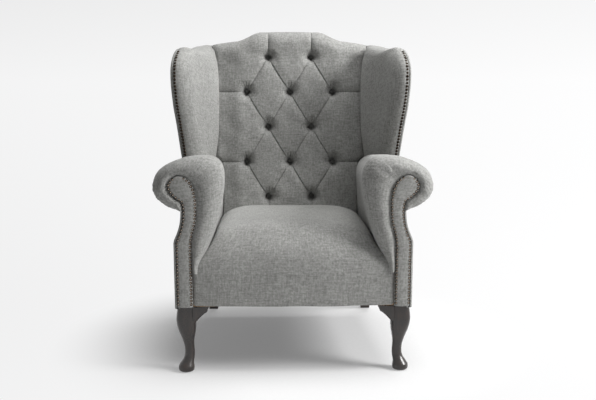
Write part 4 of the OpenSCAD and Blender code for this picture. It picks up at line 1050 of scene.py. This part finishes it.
def bump(tree, shader, height, strength, distance):
    """Gives a shader fine relief."""
    node = add(tree, "ShaderNodeBump", Height=height, Strength=strength, Distance=distance)
    tree.links.new(node.outputs["Normal"], shader.inputs["Normal"])


# Scales of the yarns' streaks and slubs across, up and through the cloth
WARP, WEFT = (900, 55, 300), (55, 900, 300)
SLUB_UP, SLUB_ACROSS = (230, 26, 100), (26, 230, 100)


def woven(name, dark, light, pitch, space="UV", sheen=0.0, relief=0.35):
    """Cloth of dark and light yarns in a plain weave, whose threads rise by turns."""
    material, tree, shader = graph(name, 0.94)
    dark, light = rgb(dark), rgb(light)
    up, across, slub_up, slub_across = (
        noise(tree, scaled(tree, space, way)) for way in (WARP, WEFT, SLUB_UP, SLUB_ACROSS))
    flecks = noise(tree, scaled(tree), 150.0, 4.0, 0.75)
    tone = noise(tree, scaled(tree), 7.0, 3.0)
    yarns = calc(tree, "MULTIPLY", calc(tree, "ADD", up, across), 0.16)
    slubs = calc(tree, "MULTIPLY", calc(tree, "ADD", slub_up, slub_across), 0.16)
    yarns = calc(tree, "MULTIPLY_ADD", flecks, 0.36, calc(tree, "ADD", yarns, slubs))
    mean = tuple((a + b) / 2 for a, b in zip(dark, light))
    colour = ramp(tree, yarns, (0.42, dark), (0.5, mean), (0.58, light))
    shade = ramp(tree, tone, (0.3, 0.93), (0.7, 1.04))
    colour = blend(tree, 1.0, colour, shade, "MULTIPLY")
    thread = add(tree, "ShaderNodeSeparateXYZ", Vector=scaled(tree, space))
    waves = [calc(tree, "SINE", calc(tree, "MULTIPLY", thread.outputs[k], math.pi / pitch))
             for k in (0, 1)]
    weave = calc(tree, "MULTIPLY", *waves)
    gaps = ramp(tree, weave, (0.0, 0.88), (0.5, 1.0))
    colour = blend(tree, 0.6, colour, gaps, "MULTIPLY")
    tree.links.new(colour, shader.inputs["Base Color"])
    lift = calc(tree, "MULTIPLY", flecks, 0.8)
    bump(tree, shader, calc(tree, "MULTIPLY_ADD", weave, 0.5, lift), relief, 0.0007)
    shader.inputs["Sheen Weight"].default_value = sheen
    shader.inputs["Sheen Roughness"].default_value = 0.5
    shader.inputs["Specular IOR Level"].default_value = 0.18
    return material


def stained_wood(name):
    """Dark brown stained and polished wood, a little worn to red-brown."""
    material, tree, shader = graph(name, 0.3)
    grain = noise(tree, scaled(tree, scale=(60, 60, 5)), 3.0, 5.0, 0.6)
    patches = noise(tree, scaled(tree), 22.0, 3.0)
    colour = ramp(tree, grain, (0.35, (0.008, 0.0055, 0.0045)), (0.7, (0.023, 0.014, 0.0095)))
    worn = ramp(tree, patches, (0.45, 0.85), (0.8, (1.5, 1.25, 1.1)))
    tree.links.new(blend(tree, 1.0, colour, worn, "MULTIPLY"), shader.inputs["Base Color"])
    tree.links.new(ramp(tree, patches, (0.3, 0.24), (0.75, 0.42)), shader.inputs["Roughness"])
    bump(tree, shader, grain, 0.12, 0.0005)
    shader.inputs["Coat Weight"].default_value = 0.45
    shader.inputs["Coat Roughness"].default_value = 0.16
    return material


def raw_wood(name, stain_z=None):
    """Pale sawn beech with dark flecks, stained below a height where one is given."""
    material, tree, shader = graph(name, 0.55)
    grain = noise(tree, scaled(tree, scale=(14, 60, 60)), 2.2, 4.0)
    flecks = noise(tree, scaled(tree, scale=(90, 90, 500)))
    pale = ramp(tree, grain, (0.3, (0.36, 0.22, 0.12)), (0.7, (0.56, 0.38, 0.22)))
    dots = ramp(tree, flecks, (0.28, (0.62, 0.55, 0.5)), (0.4, 1.0))
    colour = blend(tree, 1.0, pale, dots, "MULTIPLY")
    if stain_z is not None:
        height = add(tree, "ShaderNodeSeparateXYZ", Vector=scaled(tree)).outputs[2]
        above = calc(tree, "GREATER_THAN", height, stain_z)
        dark = ramp(tree, grain, (0.3, (0.012, 0.008, 0.006)), (0.7, (0.034, 0.02, 0.014)))
        colour = blend(tree, above, dark, colour)
        rough = calc(tree, "MULTIPLY_ADD", above, 0.25, 0.32)
        tree.links.new(rough, shader.inputs["Roughness"])
    tree.links.new(colour, shader.inputs["Base Color"])
    bump(tree, shader, grain, 0.15, 0.0006)
    return material


def metal(name, dark, bright, roughness, crown=None, rubbed_and_glint=0.5):
    """Patchy metal, with a head's crown that faces along an axis painted bright: partly rubbed
    wear, partly a painted highlight.
    """
    material, tree, shader = graph(name, roughness, 1.0)
    patches = noise(tree, scaled(tree), 160.0, 4.0, 0.6)
    colour = ramp(tree, patches, (0.35, dark), (0.68, bright))
    if crown is not None:
        normal = add(tree, "ShaderNodeTexCoord").outputs["Normal"]
        facing = add(tree, "ShaderNodeVectorMath", {"operation": "DOT_PRODUCT"}, i0=normal,
                     i1=crown)
        facing = calc(tree, "ABSOLUTE", facing.outputs["Value"])
        # The crown is painted bright: in part rubbed brass, in part a painted highlight that stands
        # in for the glint.
        colour = blend(tree, span(tree, facing, 0.9, 0.985, 0.0, 1.0), colour, rgb(rubbed_and_glint))
    tree.links.new(colour, shader.inputs["Base Color"])
    rough = ramp(tree, patches, (0.3, roughness + 0.12), (0.7, roughness - 0.06))
    tree.links.new(rough, shader.inputs["Roughness"])
    bump(tree, shader, patches, 0.2, 0.0002)
    return material


def both(*parts):
    """Names of parts that come as a left and a right node."""
    return [f"{part}_{word}" for _, word in SIDES for part in parts]


def dress(material, *nodes):
    """Gives CAD nodes a material."""
    for node in nodes:
        piece = bpy.data.objects[node]
        for place in piece.material_slots:
            place.material = material
        if not piece.material_slots:
            piece.data.materials.append(material)


# Stage, light and camera
BACKGROUND = (0.997, 0.997, 1.0, 1)
PALE, TILT = 0.945, 0.13
DIM, DIM_Z = 0.085, 0.12
SKY, SKY_LEVEL = (1, 1, 1, 1), 0.135
FLOOR_RADII = (0.001, 0.8, 1.6, 2.6, 4.0, 8.0, 20.0, 60.0)
FLOOR_SIDES = 48
FLOOR_FADE = (0.35, 0.85, 0.2)


def pale(tree, side):
    """The background's level, which tilts from one side to the other."""
    return span(tree, side, -1.0, 1.0, PALE - TILT, PALE + TILT)


def seen_rays(tree, *kinds):
    """One where a ray is of one of these kinds."""
    path = add(tree, "ShaderNodeLightPath")
    rays = path.outputs["Is Camera Ray"]
    for kind in kinds:
        rays = calc(tree, "MAXIMUM", rays, path.outputs[f"Is {kind} Ray"])
    return rays


def make_floor():
    """A wide pale floor that fades to the background's own white away from the chair."""
    ring = np.linspace(0, 2 * np.pi, FLOOR_SIDES, endpoint=False)
    grid = [np.column_stack([r * np.cos(ring), r * np.sin(ring), 0 * ring]) for r in FLOOR_RADII]
    mesh = bpy.data.meshes.new("floor")
    faces = grid_faces(len(FLOOR_RADII), FLOOR_SIDES, True)
    mesh.from_pydata(np.concatenate(grid).tolist(), [], faces)
    material, tree, shader = graph("pale_floor", 0.85)
    place = scaled(tree, scale=(1, 1, 0))
    away = add(tree, "ShaderNodeVectorMath", {"operation": "LENGTH"}, i0=place).outputs["Value"]
    smooth = {"interpolation_type": "SMOOTHSTEP"}
    fade = span(tree, away, *FLOOR_FADE, 1.0, smooth)
    tone = ramp(tree, noise(tree, place, 90.0, 3.0), (0.3, 0.8), (0.7, 0.83))
    tree.links.new(tone, shader.inputs["Base Color"])
    shader.inputs["Specular IOR Level"].default_value = 0.1
    side = add(tree, "ShaderNodeSeparateXYZ", Vector=place).outputs[0]
    side = calc(tree, "DIVIDE", side, calc(tree, "ADD", away, 1.0))
    glow = add(tree, "ShaderNodeEmission", Color=BACKGROUND, Strength=pale(tree, side))
    share = calc(tree, "MULTIPLY", fade, seen_rays(tree, "Glossy"))
    mixed = add(tree, "ShaderNodeMixShader", i0=share, i1=shader.outputs[0], i2=glow.outputs[0])
    tree.links.new(mixed.outputs[0], tree.nodes["Material Output"].inputs["Surface"])
    mesh.materials.append(material)
    put("floor", mesh)


def make_world():
    """Soft light from all round, and a plain pale background behind the floor."""
    world = bpy.data.worlds.new("studio")
    bpy.context.scene.world = world
    world.use_nodes = True
    tree = world.node_tree
    tree.nodes.clear()
    rays = seen_rays(tree, "Glossy", "Transmission")
    soft = add(tree, "ShaderNodeBackground", Color=SKY, Strength=SKY_LEVEL)
    way = add(tree, "ShaderNodeSeparateXYZ", Vector=scaled(tree, "Generated"))
    dim = span(tree, way.outputs[2], 0.0, DIM_Z, 0.0, DIM)
    level = calc(tree, "SUBTRACT", pale(tree, way.outputs[0]), dim)
    plain = add(tree, "ShaderNodeBackground", Color=BACKGROUND, Strength=level)
    mixed = add(tree, "ShaderNodeMixShader", i0=rays, i1=soft.outputs[0], i2=plain.outputs[0])
    add(tree, "ShaderNodeOutputWorld", Surface=mixed.outputs[0])


def area_light(name, place, aim, size, watts):
    """A square soft light that faces a point."""
    lamp = bpy.data.lights.new(name, "AREA")
    lamp.size = size
    lamp.energy = watts
    light = put(name, lamp)
    light.location = place
    light.rotation_euler = (Vector(aim) - Vector(place)).to_track_quat("-Z", "Y").to_euler()


def make_camera():
    """The photograph's view."""
    down, turn = math.radians(8.19), math.radians(-1.66)
    lens = bpy.data.cameras.new("camera")
    lens.lens = 50
    lens.sensor_width = 36
    camera = put("camera", lens)
    camera.location = (-0.0585, -2.8274, 0.8915)
    camera.rotation_euler = (math.pi / 2 - down, 0, turn)
    bpy.context.scene.camera = camera


make_camera()
make_world()
make_floor()
area_light("side", (2.7, -1.05, 2.15), (0, 0, 0.6), 1.2, 116)
area_light("top", (0.5, 0.05, 3.4), (0, 0, 0.5), 2.2, 84)
bpy.context.scene.view_settings.view_transform = "Standard"

CLOTH = woven("grey_cloth", (0.205, 0.205, 0.195), (0.41, 0.41, 0.395), 0.0013, sheen=0.25)
WOOD = stained_wood("dark_wood")
make_back(CLOTH)
make_arms(CLOTH)
cover("seat_cover", seat_grid(), CLOTH, ["seat_pad", "front_border"], flip=True)
make_wings(CLOTH)
make_legs(WOOD)

BEECH = raw_wood("beech")
POST = raw_wood("beech_stained_leg", RAIL_Z)
# The third colour is painted on the nails' crowns: partly rubbed brass, partly a painted highlight.
AGED, BRASS, RUBBED_AND_GLINT = (0.012, 0.009, 0.007), (0.045, 0.034, 0.025), (0.42, 0.36, 0.3)
ARM_BRASS = metal("antique_brass", AGED, BRASS, 0.3, (0, -1, 0), RUBBED_AND_GLINT)
WING_BRASS = metal("antique_brass_wings", AGED, BRASS, 0.3, (1, 0, 0), RUBBED_AND_GLINT)
SPRING = metal("spring_steel", (0.2, 0.2, 0.21), (0.38, 0.38, 0.4), 0.42)
ZINC = metal("bolt_steel", 0.45, 0.66, 0.32)
JUTE = woven("hessian", (0.3, 0.21, 0.11), (0.58, 0.45, 0.28), 0.0024, "Object", relief=0.5)
WEBBING = woven("webbing", (0.27, 0.19, 0.1), (0.52, 0.4, 0.25), 0.0036, "Object", relief=0.6)
LINING = woven("black_cloth", 0.01, 0.028, 0.001, "Object")
dress(BEECH, "front_seat_rail", "back_seat_rail", "corner_blocks", "crest_rail", "lower_back_rail",
      *both("side_seat_rail", "scroll_board", "arm_rail", "arm_tack_rail", "wing_post",
            "wing_top_rail"))
dress(POST, *both("back_post"))
dress(ARM_BRASS, *both("arm_nails"))
dress(WING_BRASS, *both("wing_nails"))
dress(SPRING, "seat_springs", "spring_clips")
dress(ZINC, "leg_bolts", "glides")
dress(JUTE, "seat_hessian", "back_hessian")
dress(WEBBING, "back_webbing")
dress(LINING, "bottom_cover")
